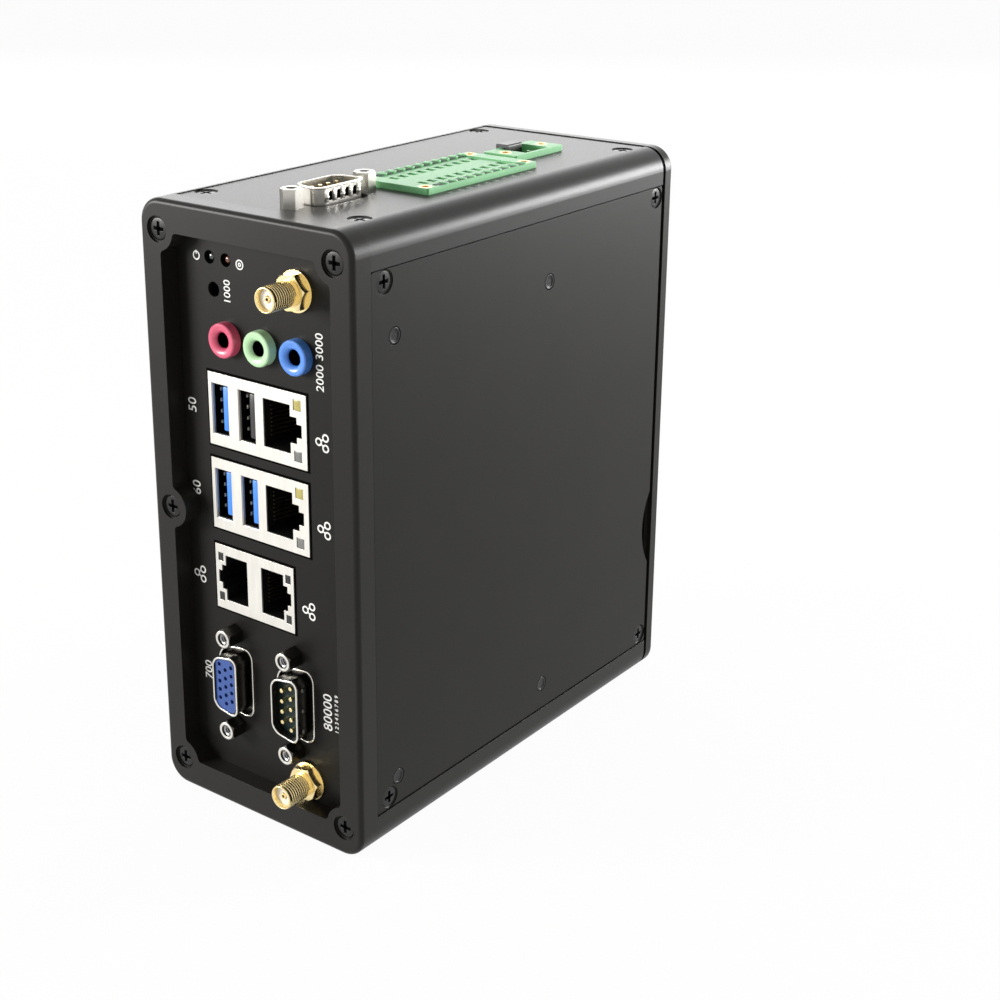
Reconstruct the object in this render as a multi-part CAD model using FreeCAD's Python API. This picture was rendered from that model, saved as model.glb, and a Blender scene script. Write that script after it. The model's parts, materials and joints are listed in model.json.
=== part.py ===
"""Fanless industrial computer of book size, for a 35 mm mounting rail.

Millimetres, +Z up, the connector face looks along -Y.  Every dimension below is laid out
from the front left bottom corner of the housing; save() moves the solids so that the
origin is the centre of the underside.
"""
import FreeCAD, Part
import math
import os
from FreeCAD import Vector as V

os.makedirs("parts", exist_ok=True)

# ---------------------------------------------------------------- driving dimensions
corner_r = 6.0                  # rounding of the housing seen from the front
frame_depth = 6.0               # bezel, front face to the seam with the body
frame_edge_r = 1.2
side_bar, end_bar = 6.5, 7.6    # bezel bars at the sides, at the top and the bottom
panel_t = 1.2                   # connector panel, seated in the back of the bezel
panel_inset, panel_play = 3.0, 0.2
lobe_r = 5.1                    # bezel lobes that carry the screws
front_screw_x, front_screw_z = 5.6, 7.3
rear_plate_t, rear_edge_r = 3.4, 0.9
neck_y, neck_inset = 1.2, 1.4   # set-back neck of the rear plate, the dark groove
rail_side, rail_top = 9.5, 6.0  # height of a corner rail on the side, width on the top
core_a, core_b = 11.3, 10.4     # solid core of a rail, in from the side and from the top
sheet_t, sheet_inset = 1.5, 0.2
seam = 0.3                      # visible gap round the sheets
ledge_t, ledge_down = 2.5, 4.9  # ledge of a rail under the side sheet
side_screw_gap, side_screw_front, side_screw_back = 0.3, 10.8, 2.8
top_screw_x, top_screw_front, top_screw_back = 9.0, 13.0, 6.4
stud_front, stud_span, stud_low, stud_high = 14.0, 59.7, 16.8, 25.4
stud_r, pillar_r, stud_reach = 2.1, 2.3, 6.0
notch_r, notch_sag, notch_z = 19.0, 3.3, 45.0
screw_r, screw_hole_r = 1.5, 1.7
head_r, head_h = 2.8, 1.5
frame_sink = 0.6                # counterbore depth of the bezel screws
long_screw, short_screw = 13.0, 3.9
board_x, board_t = 14.0, 1.6    # main board, its solder side and its thickness
right_room = 18.4               # from the port stacks to the right side

# connectors of the front panel, stacked upward from the lower antenna
shell_t, proud = 0.4, 0.3       # port shell wall, how far the shells stand out of the panel
stack_w, stack_h, port_deep = 31.0, 18.0, 21.0
twin_w, twin_h = 25.6, 16.8
jackscrew_pitch, jackscrew_out, jackscrew_far = 25.0, 4.5, 2.74
flange_h, flange_w, flange_t = 30.8, 12.5, 0.9
nut_half, nut_t, washer_t, washer_r = 4.0, 2.2, 0.7, 4.9
antenna_r, antenna_hole_r, antenna_x = 3.175, 3.3, 44.6
antenna_low_gap, antenna_high_gap = 0.2, 4.1
antenna_to_jackscrew = 7.2
dsub_x = (20.9, 40.7)
twin_gap, stack_gap, stack_space, jack_gap = 3.1, 4.3, 3.4, 8.9
jack_x, jack_r, jack_out, jack_hole_r = (22.4, 33.5, 44.6), 4.2, 2.4, 1.8
antenna_rise, button_rise, lamp_rise = 15.1, 11.2, 7.5
button_x, button_r, button_hole_r, button_travel = 18.5, 1.55, 1.8, 0.5
lamp_x, lamp_r = (17.5, 22.7), 1.6

# connectors of the top sheet, one behind the other
top_com_x, top_com_front, top_gap = 36.9, 24.6, 1.2
header_room, header_w, header_pitch, header_rows, header_ear = 1.1, 21.6, 3.5, 10, 4.3
header_up, header_floor, block_high = 1.3, 4.2, 11.0
feed_in, feed_w, feed_pitch, feed_ear, feed_gap = 8.2, 10.4, 5.08, 5.42, 2.6
insert_r, insert_hole_r, insert_deep = 1.6, 1.0, 5.0
rear_room = 17.0                # from the supply header to the end of the rails

# mounting rail and its clip
din_rail_h, lip_t = 35.0, 1.0
latch_gap, latch_travel = 0.3, 3.5

# ---------------------------------------------------------------- layout that follows
panel_y = frame_depth - panel_t
panel_back = frame_depth
block_left = board_x + board_t
width = block_left + stack_w + right_room
antenna_low = end_bar + washer_r + antenna_low_gap
dsub_z = antenna_low + antenna_to_jackscrew + jackscrew_pitch / 2
twin_low = dsub_z + flange_h / 2 + twin_gap
stack_low = (twin_low + twin_h + stack_gap, twin_low + twin_h + stack_gap + stack_h + stack_space)
jack_z = stack_low[1] + stack_h + jack_gap
antenna_places = [(antenna_x, jack_z + antenna_rise), (antenna_x, antenna_low)]
button_z = jack_z + button_rise
lamp_z = button_z + lamp_rise
height = antenna_places[0][1] + washer_r + antenna_high_gap + end_bar
header_x = width - core_a - header_room - header_w
feed_x = header_x + header_w - feed_in - feed_w
header_y = (top_com_front + flange_h / 2 + top_gap,
            top_com_front + flange_h / 2 + top_gap + header_rows * header_pitch + 2 * header_ear)
feed_y = (header_y[1] + feed_gap, header_y[1] + feed_gap + 2 * feed_pitch + 2 * feed_ear)
body_end = feed_y[1] + rear_room
depth = body_end + neck_y + rear_plate_t
sheet_back = sheet_inset + sheet_t
top_under = height - sheet_back
header_top = height + header_up
board_top = header_top - block_high


# ---------------------------------------------------------------- helpers
def save(name, shape):
    """Move to the part's frame and write one node."""
    shape = shape.removeSplitter() if shape.ShapeType == "Solid" else shape.copy()
    shape.translate(V(-width / 2, -depth / 2, 0))
    shape.exportStep("parts/" + name + ".step")
    print(name, len(shape.Solids), round(shape.Volume, 1))


def box(x0, x1, y0, y1, z0, z1):
    return Part.makeBox(x1 - x0, y1 - y0, z1 - z0, V(x0, y0, z0))


def rod(axis, a, b, r, start, end):
    """Cylinder along x, y or z; a and b are its place on the two other axes in order."""
    base = {"x": V(start, a, b), "y": V(a, start, b), "z": V(a, b, start)}[axis]
    way = {"x": V(1, 0, 0), "y": V(0, 1, 0), "z": V(0, 0, 1)}[axis]
    return Part.makeCylinder(r, end - start, base, way)


def outline(points, plane, level):
    """Face through (a, b, r) corners, each rounded by its own r, in xy, xz or yz."""
    def at(p):
        return {"xy": V(p.x, p.y, level), "xz": V(p.x, level, p.y), "yz": V(level, p.x, p.y)}[plane]

    corners = []
    for i, (a, b, r) in enumerate(points):
        here = V(a, b, 0)
        before = V(points[i - 1][0], points[i - 1][1], 0) - here
        after = V(points[(i + 1) % len(points)][0], points[(i + 1) % len(points)][1], 0) - here
        if r <= 0:
            corners.append((here, here, None))
            continue
        before.normalize()
        after.normalize()
        half = before.getAngle(after) / 2
        middle = before + after
        middle.normalize()
        centre = here + middle * (r / math.sin(half))
        reach = r / math.tan(half)
        corners.append((here + before * reach, here + after * reach, centre - middle * r))
    edges = []
    for i, (start, end, mid) in enumerate(corners):
        if mid is not None:
            edges.append(Part.Arc(at(start), at(mid), at(end)).toShape())
        following = corners[(i + 1) % len(corners)][0]
        if (following - end).Length > 1e-6:
            edges.append(Part.makeLine(at(end), at(following)))
    return Part.Face(Part.Wire(edges))


def rect(a0, a1, b0, b1, r=0.0):
    return [(a0, b0, r), (a1, b0, r), (a1, b1, r), (a0, b1, r)]


def slab(points, plane, start, end):
    """Outline pushed from start to end along the axis its plane lacks."""
    way = {"xy": V(0, 0, 1), "xz": V(0, 1, 0), "yz": V(1, 0, 0)}[plane]
    return outline(points, plane, start).extrude(way * (end - start))


def fuse(shapes):
    first = shapes[0]
    return first.multiFuse(shapes[1:]).removeSplitter() if len(shapes) > 1 else first


def group(shapes):
    return Part.makeCompound(shapes)


def facing(shape, side, x, y, z):
    """Turn a shape made to look along -Y so that it looks out of the named side."""
    turned = shape.copy()
    turn = {"front": None, "rear": (V(0, 0, 1), 180), "right": (V(0, 0, 1), 90),
            "left": (V(0, 0, 1), -90), "top": (V(1, 0, 0), -90), "bottom": (V(1, 0, 0), 90)}[side]
    if turn:
        turned.rotate(V(0, 0, 0), turn[0], turn[1])
    turned.translate(V(x, y, z))
    return turned


def countersunk_screw(length, rim=0.25):
    """Flat cross-head screw: rim, cone, shank and cruciform recess."""
    head = fuse([rod("y", 0, 0, head_r, 0, rim),
                 Part.makeCone(head_r, screw_r, head_h - rim, V(0, rim, 0), V(0, 1, 0)),
                 rod("y", 0, 0, screw_r, head_h, length)])
    blade = slab([(-1.6, 0, 0), (1.6, 0, 0), (0.5, 1.1, 0), (-0.5, 1.1, 0)], "xy", -0.35, 0.35)
    cross = blade.copy()
    cross.rotate(V(0, 0, 0), V(0, 1, 0), 90)
    return head.cut(blade).cut(cross)


def countersink(length, rim=0.25, counterbore=0.0):
    """Space that such a screw needs in the sheet it holds."""
    parts = [Part.makeCone(head_r, screw_r, head_h - rim, V(0, rim, 0), V(0, 1, 0)),
             rod("y", 0, 0, head_r, -counterbore - 0.1, rim),
             rod("y", 0, 0, screw_hole_r, 0, length)]
    if counterbore:
        parts.append(rod("y", 0, 0, head_r + 0.35, -counterbore - 1, 0))
    return fuse(parts)


# ---------------------------------------------------------------- screw places
front_corners = [(x, z) for x in (front_screw_x, width - front_screw_x)
                 for z in (front_screw_z, height - front_screw_z)]
front_places = front_corners + [(front_screw_x, height / 2)]
side_screw_y = (side_screw_front, body_end - side_screw_back)
side_screw_in = rail_side + side_screw_gap + head_r
side_screw_z = (side_screw_in, height - side_screw_in)
side_places = [(y, z) for y in side_screw_y for z in side_screw_z]
top_screw_y = (top_screw_front, body_end - top_screw_back)
top_places = [(x, y) for x in (top_screw_x, width - top_screw_x) for y in top_screw_y]
stud_places = [(y, z) for y in (stud_front, stud_front + stud_span) for z in (stud_low, height - stud_high)]


# ---------------------------------------------------------------- front frame
def front_frame():
    plate = slab(rect(0, width, 0, height, corner_r), "xz", 0, frame_depth)
    rim = [e for e in plate.Edges if e.BoundBox.YMax < 0.01]
    plate = plate.makeFillet(frame_edge_r, rim)
    opening = outline(rect(side_bar, width - side_bar, end_bar, height - end_bar), "xz", 0)
    for x, z in front_places:
        lobe = Part.Face(Part.Wire(Part.makeCircle(lobe_r, V(x, 0, z), V(0, 1, 0))))
        opening = opening.cut(lobe)
    blend = 1.3
    opening = opening.Faces[0].makeOffset2D(-blend).makeOffset2D(blend)
    plate = plate.cut(opening.extrude(V(0, frame_depth, 0)))
    seat = panel_inset - panel_play
    plate = plate.cut(slab(rect(seat, width - seat, seat, height - seat, corner_r - seat),
                           "xz", panel_y, frame_depth))
    for x, z in front_places:
        plate = plate.cut(facing(countersink(frame_depth, 0.25, frame_sink), "front", x, frame_sink, z))
    return plate


# ---------------------------------------------------------------- corner rails and sheets
def rail_section(left, top):
    """Extruded corner rail seen along Y; a runs in from the side, b in from top or bottom."""
    face, ledge_end = sheet_back, rail_side + ledge_down
    shelf = sheet_back if top else sheet_t
    section = [(0, rail_side, 0), (0, 0, corner_r), (rail_top, 0, 0), (rail_top, shelf, 0),
               (core_a, shelf, 0), (core_a, core_b, 0.8), (face + ledge_t, core_b, 0),
               (face + ledge_t, ledge_end, 0.5),
               (face, ledge_end, 0), (face, rail_side, 0)]
    return [(a if left else width - a, height - b if top else b, r) for a, b, r in section]


def corner_rail(left, top):
    rail = slab(rail_section(left, top), "xz", panel_back, body_end)
    x = front_screw_x if left else width - front_screw_x
    z = height - front_screw_z if top else front_screw_z
    bores = [rod("y", x, z, screw_r, panel_back, frame_sink + long_screw),
             rod("y", x, z, screw_r, depth - long_screw, body_end)]
    deep = sheet_back + ledge_t
    for y in side_screw_y:
        start = 0 if left else width - deep
        bores.append(rod("x", y, side_screw_z[1] if top else side_screw_z[0], screw_r, start, start + deep))
    for y in top_screw_y:
        start = height - deep if top else 0
        bores.append(rod("z", top_screw_x if left else width - top_screw_x, y, screw_r, start, start + deep))
    return rail.cut(fuse(bores))


def side_sheet():
    """Right-hand sheet with the shallow notch in its rear edge."""
    z0, z1 = rail_side + seam, height - rail_side - seam
    x0, x1 = width - sheet_inset - sheet_t, width - sheet_inset
    sheet = slab(rect(panel_back + seam, body_end, z0, z1, 0.6), "yz", x0, x1)
    sheet = sheet.cut(rod("x", body_end + notch_r - notch_sag, notch_z, notch_r, x0, x1))
    for y, z in side_places:
        sheet = sheet.cut(facing(countersink(sheet_t), "right", x1, y, z))
    for y, z in stud_places:
        sheet = sheet.cut(rod("x", y, z, stud_r, x0, x1))
    return sheet


def mirrored(shape):
    return shape.mirror(V(width / 2, 0, 0), V(1, 0, 0))


def end_sheet(top):
    """Top or bottom sheet between two corner rails; the bottom one is flush with the feet of the bezel."""
    z1 = height - sheet_inset if top else sheet_t
    sheet = slab(rect(rail_top + seam, width - rail_top - seam, panel_back + seam, body_end, 0.6),
                 "xy", z1 - sheet_t, z1)
    for x, y in top_places:
        sheet = sheet.cut(facing(countersink(sheet_t), "top" if top else "bottom", x, y,
                                 z1 if top else z1 - sheet_t))
    return sheet


def flush_studs(left):
    """Round-head studs pressed flush into the side sheet."""
    face = sheet_inset
    studs = []
    for y, z in stud_places:
        stud = fuse([rod("x", y, z, stud_r, face, face + sheet_t),
                     rod("x", y, z, pillar_r, face + sheet_t, board_x if left else sheet_back + stud_reach)])
        if left:
            stud = stud.cut(rod("x", y, z, pan_r, board_x - pan_grip, board_x))
        studs.append(stud if left else mirrored(stud))
    return group(studs)


def rear_plate():
    y0 = depth - rear_plate_t
    plate = slab(rect(0, width, 0, height, corner_r), "xz", y0, depth)
    rim = [e for e in plate.Edges if e.BoundBox.YMin > depth - 0.01]
    plate = plate.makeFillet(rear_edge_r, rim)
    neck = slab(rect(neck_inset, width - neck_inset, neck_inset, height - neck_inset,
                     corner_r - neck_inset), "xz", body_end, y0)
    plate = fuse([plate, neck])
    for x, z in front_corners:
        plate = plate.cut(facing(countersink(rear_plate_t + neck_y + 0.1), "rear", x, depth, z))
    for x, z, y in bracket_screws:
        plate = plate.cut(rod("y", x, z, screw_r, body_end, depth))
    return plate


# ---------------------------------------------------------------- connectors
def dshell_points(cx, cz, long, short, r):
    """D outline, long side upright, wide side toward +X."""
    lean = short * math.tan(math.radians(10))
    return [(cx + short / 2, cz - long / 2, r), (cx + short / 2, cz + long / 2, r),
            (cx - short / 2, cz + long / 2 - lean, r), (cx - short / 2, cz - long / 2 + lean, r)]


dshell_r, dshell_out, dshell_wall = 2.5, 5.6, 0.5
flange_hole_r = 1.6
dimple_pitch, dimple_r, dimple_sunk, dimple_back = 5.4, 0.75, 0.25, 2.4
socket_long, socket_short = 16.3, 7.9      # outside of a socket shell
plug_long, plug_short = 17.0, 8.4          # outside of a pin shell
cutout_long, cutout_short = 19.4, 10.9
insulator_deep, pin_r, pin_tail = 7.0, 0.5, 2.5


def dsub_shell(long, short, dimples):
    """Flange and drawn shell at the origin: the flange's front is y = 0, the shell stands out."""
    wall = dshell_wall
    flange = slab(rect(-flange_w / 2, flange_w / 2, -flange_h / 2, flange_h / 2, 1.6), "xz", 0, flange_t)
    tube = slab(dshell_points(0, 0, long, short, dshell_r), "xz", -dshell_out, 0)
    shell = fuse([flange, tube])
    shell = shell.cut(slab(dshell_points(0, 0, long - 2 * wall, short - 2 * wall, dshell_r - wall),
                           "xz", -dshell_out, flange_t))
    for side in (-1, 1):
        shell = shell.cut(rod("y", 0, side * jackscrew_pitch / 2, flange_hole_r, 0, flange_t))
    if dimples:
        for z in (-dimple_pitch, 0, dimple_pitch):
            bump = Part.makeSphere(dimple_r, V(short / 2 - dimple_sunk, dimple_back - dshell_out, z))
            shell = fuse([shell, bump.common(box(0, short, -dshell_out, 0, -long / 2, long / 2))])
    return shell


def dsub_insulator(long, short, front, holes):
    """Moulded block behind and inside the shell; front is how far it reaches forward."""
    wall = dshell_wall
    core = slab(dshell_points(0, 0, long - 2 * wall, short - 2 * wall, dshell_r - wall), "xz", front, flange_t)
    back = slab(dshell_points(0, 0, long + 1.6, short + 1.6, dshell_r), "xz", flange_t, insulator_deep)
    block = fuse([core, back])
    for x, z in holes:
        block = block.cut(rod("y", x, z, 0.55, front, front + 4))
    return block


nine_pins = [(1.42, 2.77 * (i - 2)) for i in range(5)] + [(-1.42, 2.77 * (i - 1.5)) for i in range(4)]
fifteen_holes = [(1.98 * (c - 1), 2.29 * (i - 2) + 0.57 * (1, -1, 1)[c]) for c in range(3) for i in range(5)]
pin_floor = -0.8


def nine_pin_set():
    return [rod("y", x, z, pin_r, 0.8 - dshell_out, insulator_deep + pin_tail) for x, z in nine_pins]


def hexagon_points(a, b, far, turn):
    """Corners of a hexagon round (a, b), far from its middle, the first at the angle turn."""
    angles = [math.radians(turn + 60 * k) for k in range(6)]
    return [(a + far * math.cos(t), b + far * math.sin(t), 0) for t in angles]


jackstud_r, jackthread_r, jackthread_deep = 1.45, 1.35, 4.2


def jackscrews(out):
    """Hexagonal female screws beside a D connector, threaded hole in front, stud behind."""
    pair = []
    for side in (-1, 1):
        z = side * jackscrew_pitch / 2
        hexagon = slab(hexagon_points(0, z, jackscrew_far, 30), "xz", -out, 0)
        crown = Part.makeCone(jackscrew_far - 0.4, jackscrew_far - 0.4 + out, out, V(0, -out, z), V(0, 1, 0))
        stud = rod("y", 0, z, jackstud_r, 0, panel_t + flange_t + 3)
        screw = fuse([hexagon.common(crown), stud])
        pair.append(screw.cut(rod("y", 0, z, jackthread_r, -out, jackthread_deep - out)))
    return pair


usb_x, usb_w, usb_h, usb_deep = (1.0, 9.6), 5.4, 12.8, 13.0
tongue_x, tongue_t, tongue_h, tongue_back = 1.1, 1.9, 11.0, 1.2
lan_h, lan_deep, notch_wide, notch_thin = 11.8, 15.0, 3.2, 1.6
stack_lan, stack_steps, stack_edge = 8.4, (2.0, 1.5), 1.5
stack_lamp, stack_lamp_at = (2.4, 2.6), (2.8, 6.2)      # size; in from the edge, off the middle
twin_steps, twin_mid, twin_edge = (1.3, 1.1), 2.3, 0.9
twin_lamp, twin_lamp_at = (1.7, 2.2), (1.75, 5.2)
lamp_deep, glass_back = 2.0, 0.1


def lan_window(x, mid, size, steps, way):
    """Outline of an 8-way socket from x on; its stepped latch notch points along way."""
    a, b, c = size, size + steps[0], size + steps[0] + steps[1]
    side = [(0, lan_h / 2), (a, lan_h / 2), (a, notch_wide), (b, notch_wide), (b, notch_thin), (c, notch_thin)]
    return ([(x + way * p, mid - q, 0) for p, q in side]
            + [(x + way * p, mid + q, 0) for p, q in reversed(side)])


def centred(x, z, size):
    return rect(x - size[0] / 2, x + size[0] / 2, z - size[1] / 2, z + size[1] / 2)


def port_block(left, low, wide, high, sockets, lamps):
    """Folded shell, moulded body and lamp windows of one block of ports."""
    y0 = panel_y - proud
    outer = box(left, left + wide, y0, y0 + port_deep, low, low + high)
    body = box(left + shell_t, left + wide - shell_t, y0 + shell_t, y0 + port_deep,
               low + shell_t, low + high - shell_t)
    shell = outer.cut(body)
    for points, deep in sockets + [(points, lamp_deep) for points in lamps]:
        shell = shell.cut(slab(points, "xz", y0, y0 + shell_t))
        body = body.cut(slab(points, "xz", y0 + shell_t, y0 + deep))
    glass = [slab(points, "xz", y0 + glass_back, y0 + lamp_deep) for points in lamps]
    return shell, body, glass


def usb_pair_and_lan(left, low):
    """One stacked connector: two USB sockets side by side and an 8-way socket."""
    mid, right = low + stack_h / 2, left + stack_w
    sockets = [(rect(left + a, left + a + usb_w, mid - usb_h / 2, mid + usb_h / 2), usb_deep) for a in usb_x]
    start = right - stack_edge - sum(stack_steps) - stack_lan
    sockets.append((lan_window(start, mid, stack_lan, stack_steps, 1), lan_deep))
    lamps = [centred(right - stack_lamp_at[0], mid + side * stack_lamp_at[1], stack_lamp) for side in (-1, 1)]
    shell, body, glass = port_block(left, low, stack_w, stack_h, sockets, lamps)
    y0 = panel_y - proud
    tongues = [box(left + a + tongue_x, left + a + tongue_x + tongue_t, y0 + tongue_back, y0 + usb_deep,
                   mid - tongue_h / 2, mid + tongue_h / 2) for a in usb_x]
    return shell, body, tongues, glass


def twin_lan(left, low, wide, high):
    """Two 8-way sockets side by side with their latch notches turned outward."""
    mid, middle = low + high / 2, left + wide / 2
    size = wide / 2 - twin_mid - twin_edge - sum(twin_steps)
    sockets = [(lan_window(middle + way * twin_mid, mid, size, twin_steps, way), lan_deep) for way in (-1, 1)]
    lamps = [centred(x, mid + side * twin_lamp_at[1], twin_lamp)
             for x in (left + twin_lamp_at[0], left + wide - twin_lamp_at[0]) for side in (-1, 1)]
    return port_block(left, low, wide, high, sockets, lamps)


def front_panel():
    inset = panel_inset
    plate = slab(rect(inset, width - inset, inset, height - inset, corner_r - inset), "xz", panel_y, panel_back)
    cuts = []
    for x, z in front_places:
        cuts.append(rod("y", x, z, screw_hole_r, panel_y, panel_back))
    for low in stack_low:
        cuts.append(box(block_left, block_left + stack_w, panel_y, panel_back, low, low + stack_h))
    cuts.append(box(block_left, block_left + twin_w, panel_y, panel_back, twin_low, twin_low + twin_h))
    for x in dsub_x:
        cuts.append(slab(dshell_points(x, dsub_z, cutout_long, cutout_short, dshell_r + 0.5),
                         "xz", panel_y, panel_back))
        for side in (-1, 1):
            cuts.append(rod("y", x, dsub_z + side * jackscrew_pitch / 2, flange_hole_r, panel_y, panel_back))
    for x in jack_x:
        cuts.append(rod("y", x, jack_z, jack_r, panel_y, panel_back))
    for x, z in antenna_places:
        cuts.append(rod("y", x, z, antenna_hole_r, panel_y, panel_back))
    for x in lamp_x:
        cuts.append(rod("y", x, lamp_z, lamp_r, panel_y, panel_back))
    cuts.append(rod("y", button_x, button_z, button_hole_r, panel_y, panel_back))
    for cut in cuts:
        plate = plate.cut(cut)
    return plate


front_board_y, jack_body = 19.0, (10.4, 11.2)


def audio_jack(x):
    """Coloured sleeve in front of a square moulded body; the plug hole runs down the middle."""
    sleeve = rod("y", x, jack_z, jack_r, panel_y - jack_out, panel_back)
    rim = [e for e in sleeve.Edges if e.BoundBox.YMax < panel_y - jack_out + 0.01]
    sleeve = sleeve.makeFillet(0.5, rim)
    body = box(x - jack_body[0] / 2, x + jack_body[0] / 2, panel_back, front_board_y,
               jack_z - jack_body[1] / 2, jack_z + jack_body[1] / 2)
    return fuse([sleeve, body]).cut(rod("y", x, jack_z, jack_hole_r, panel_y - jack_out, front_board_y - 2.0))


antenna_out, antenna_back, antenna_root_r = 10.6, 8.0, 2.9
thread_gap = 0.4                # from the nut's face to the start of the full thread
bore_r, bore_deep, contact_r = 2.45, 2.2, 0.65
antenna_flange_r, antenna_flange_t, crimp_r = 4.0, 3.5, 2.2


def antenna_socket(x, z):
    """Turned coaxial bulkhead socket: threaded barrel outside, flange and crimp inside."""
    r, tip = antenna_r, panel_y - antenna_out
    step = panel_y - washer_t - nut_t - thread_gap
    profile = [(contact_r, tip + bore_deep, 0), (contact_r, panel_y, 0), (0, panel_y, 0),
               (0, panel_back + antenna_back, 0), (crimp_r, panel_back + antenna_back, 0),
               (crimp_r, panel_back + antenna_flange_t, 0),
               (antenna_flange_r, panel_back + antenna_flange_t, 0),
               (antenna_flange_r, panel_back, 0), (antenna_root_r, panel_back, 0), (antenna_root_r, step, 0),
               (r, step, 0), (r, tip, 0.35), (bore_r, tip, 0), (bore_r, tip + bore_deep, 0)]
    face = outline(profile, "xy", 0)
    turned = face.revolve(V(0, 0, 0), V(0, 1, 0), 360)
    turned.translate(V(x, 0, z))
    return turned


def antenna_nut(x, z):
    far = nut_half / math.cos(math.radians(30))
    front = panel_y - washer_t - nut_t
    nut = slab(hexagon_points(x, z, far, 10), "xz", front, front + nut_t)
    nut = nut.common(Part.makeCone(far - 0.45, far - 0.45 + nut_t, nut_t, V(x, front, z), V(0, 1, 0)))
    return nut.cut(rod("y", x, z, antenna_root_r, front, front + nut_t))


def antenna_washer(x, z):
    ring = rod("y", x, z, washer_r, panel_y - washer_t, panel_y)
    return ring.cut(rod("y", x, z, antenna_root_r, panel_y - washer_t, panel_y))


# ---------------------------------------------------------------- top connectors
bush_in, bush_end, feed_bush_end = 2.4, 2.1, 2.6
header_ends = [(x, y) for x in (header_x + bush_in, header_x + header_w - bush_in)
               for y in (header_y[0] + bush_end, header_y[1] - bush_end)]
feed_ends = [(feed_x + feed_w / 2, y) for y in (feed_y[0] + feed_bush_end, feed_y[1] - feed_bush_end)]
header_wall, rib_reach, rib_half, rib_down = 0.9, 1.6, 0.7, 0.4
divider_half, divider_down = 0.5, 2.4
pin_half, pin_in, pin_down = 0.5, 6.4, 1.0


def top_cutouts(sheet):
    hole = slab(dshell_points(0, 0, cutout_long, cutout_short, dshell_r + 0.5), "xz", 0, sheet_t)
    sheet = sheet.cut(facing(hole, "top", top_com_x, top_com_front, height - sheet_inset))
    for side in (-1, 1):
        y = top_com_front + side * jackscrew_pitch / 2
        sheet = sheet.cut(rod("z", top_com_x, y, flange_hole_r, top_under, height))
    sheet = sheet.cut(box(header_x, header_x + header_w, header_y[0], header_y[1], top_under, height))
    return sheet.cut(box(feed_x, feed_x + feed_w, feed_y[0], feed_y[1], top_under, height))


def terminal_header():
    """Moulded 20-way header: two plug channels, keyed outer walls, screw bushes at the corners."""
    x0, x1 = header_x, header_x + header_w
    y0, y1 = header_y
    block = slab(rect(x0, x1, y0, y1, 0.5), "xy", board_top, header_top)
    mid = (x0 + x1) / 2
    start = y0 + header_ear
    stop = start + header_pitch * header_rows
    well = box(x0 + header_wall, x1 - header_wall, start, stop, header_top - header_floor, header_top)
    divider = box(mid - divider_half, mid + divider_half, start, stop,
                  header_top - header_floor, header_top - divider_down)
    block = block.cut(well)
    parts = [block, divider]
    for i in range(header_rows + 1):
        y = start + header_pitch * i
        a, b = max(y - rib_half, start), min(y + rib_half, stop)
        for x in (x0 + header_wall, x1 - header_wall - rib_reach):
            parts.append(box(x, x + rib_reach, a, b, header_top - header_floor, header_top - rib_down))
    block = fuse(parts)
    for x, y in header_ends:
        block = block.cut(rod("z", x, y, insert_r, header_top - insert_deep, header_top))
    return block


def header_pins():
    start = header_y[0] + header_ear
    places = [(x, start + header_pitch * (i + 0.5)) for x in (header_x + pin_in, header_x + header_w - pin_in)
              for i in range(header_rows)]
    return [square_pin(x, y, header_floor) for x, y in places] + feed_pins()


def square_pin(x, y, deep):
    return box(x - pin_half, x + pin_half, y - pin_half, y + pin_half, header_top - deep, header_top - pin_down)


feed_wall, feed_deep, key_half, key_sink = 1.0, 6.0, 3.0, 0.4
key_left, key_right, key_up = 1.4, 2.6, 0.9


def feed_header():
    """Two-way supply header with a screw ear at each end."""
    x0, x1 = feed_x, feed_x + feed_w
    block = slab(rect(x0, x1, feed_y[0], feed_y[1], 0.6), "xy", board_top, header_top)
    mid = (feed_y[0] + feed_y[1]) / 2
    well = box(x0 + feed_wall, x1 - feed_wall, mid - feed_pitch, mid + feed_pitch,
               header_top - feed_deep, header_top)
    gate = box(x0, x0 + feed_wall, mid - key_half, mid + key_half,
               height - sheet_inset - key_sink, header_top)
    block = block.cut(well).cut(gate)
    for x, y in feed_ends:
        block = block.cut(rod("z", x, y, insert_r, header_top - insert_deep, header_top))
    return block


def feed_pins():
    x, mid = feed_x + feed_w / 2, (feed_y[0] + feed_y[1]) / 2
    return [square_pin(x, y, feed_deep) for y in (mid - feed_pitch / 2, mid + feed_pitch / 2)]


def feed_key():
    """Black coding piece clipped on the rim of the supply header."""
    mid = (feed_y[0] + feed_y[1]) / 2
    top, sill = header_top + key_up, height - sheet_inset
    x0, x1, low = feed_x - key_left, feed_x + key_right, sill - key_sink
    side = [(x0, sill, 0), (x0, top, 0.5), (x1, top, 0.5), (x1, low, 0), (feed_x, low, 0), (feed_x, sill, 0)]
    return slab(side, "xz", mid - key_half, mid + key_half)


def bushes(places):
    """Threaded brass bushes pressed into the ears of a header."""
    return group([rod("z", x, y, insert_r, header_top - insert_deep, header_top).cut(
        rod("z", x, y, insert_hole_r, header_top - insert_deep + 0.5, header_top)) for x, y in places])


# ---------------------------------------------------------------- boards and what they carry
board_front, board_rear_room, board_low, board_high = 8.0, 7.4, 12.0, 15.0
pan_r, pan_grip, pan_head_r, pan_head_h = 1.0, 4.0, 2.6, 1.6


def main_board():
    board = box(board_x, block_left, board_front, body_end - board_rear_room, board_low, height - board_high)
    for y, z in stud_places:
        board = board.cut(rod("x", y, z, pan_r, board_x, block_left))
    return board


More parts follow.
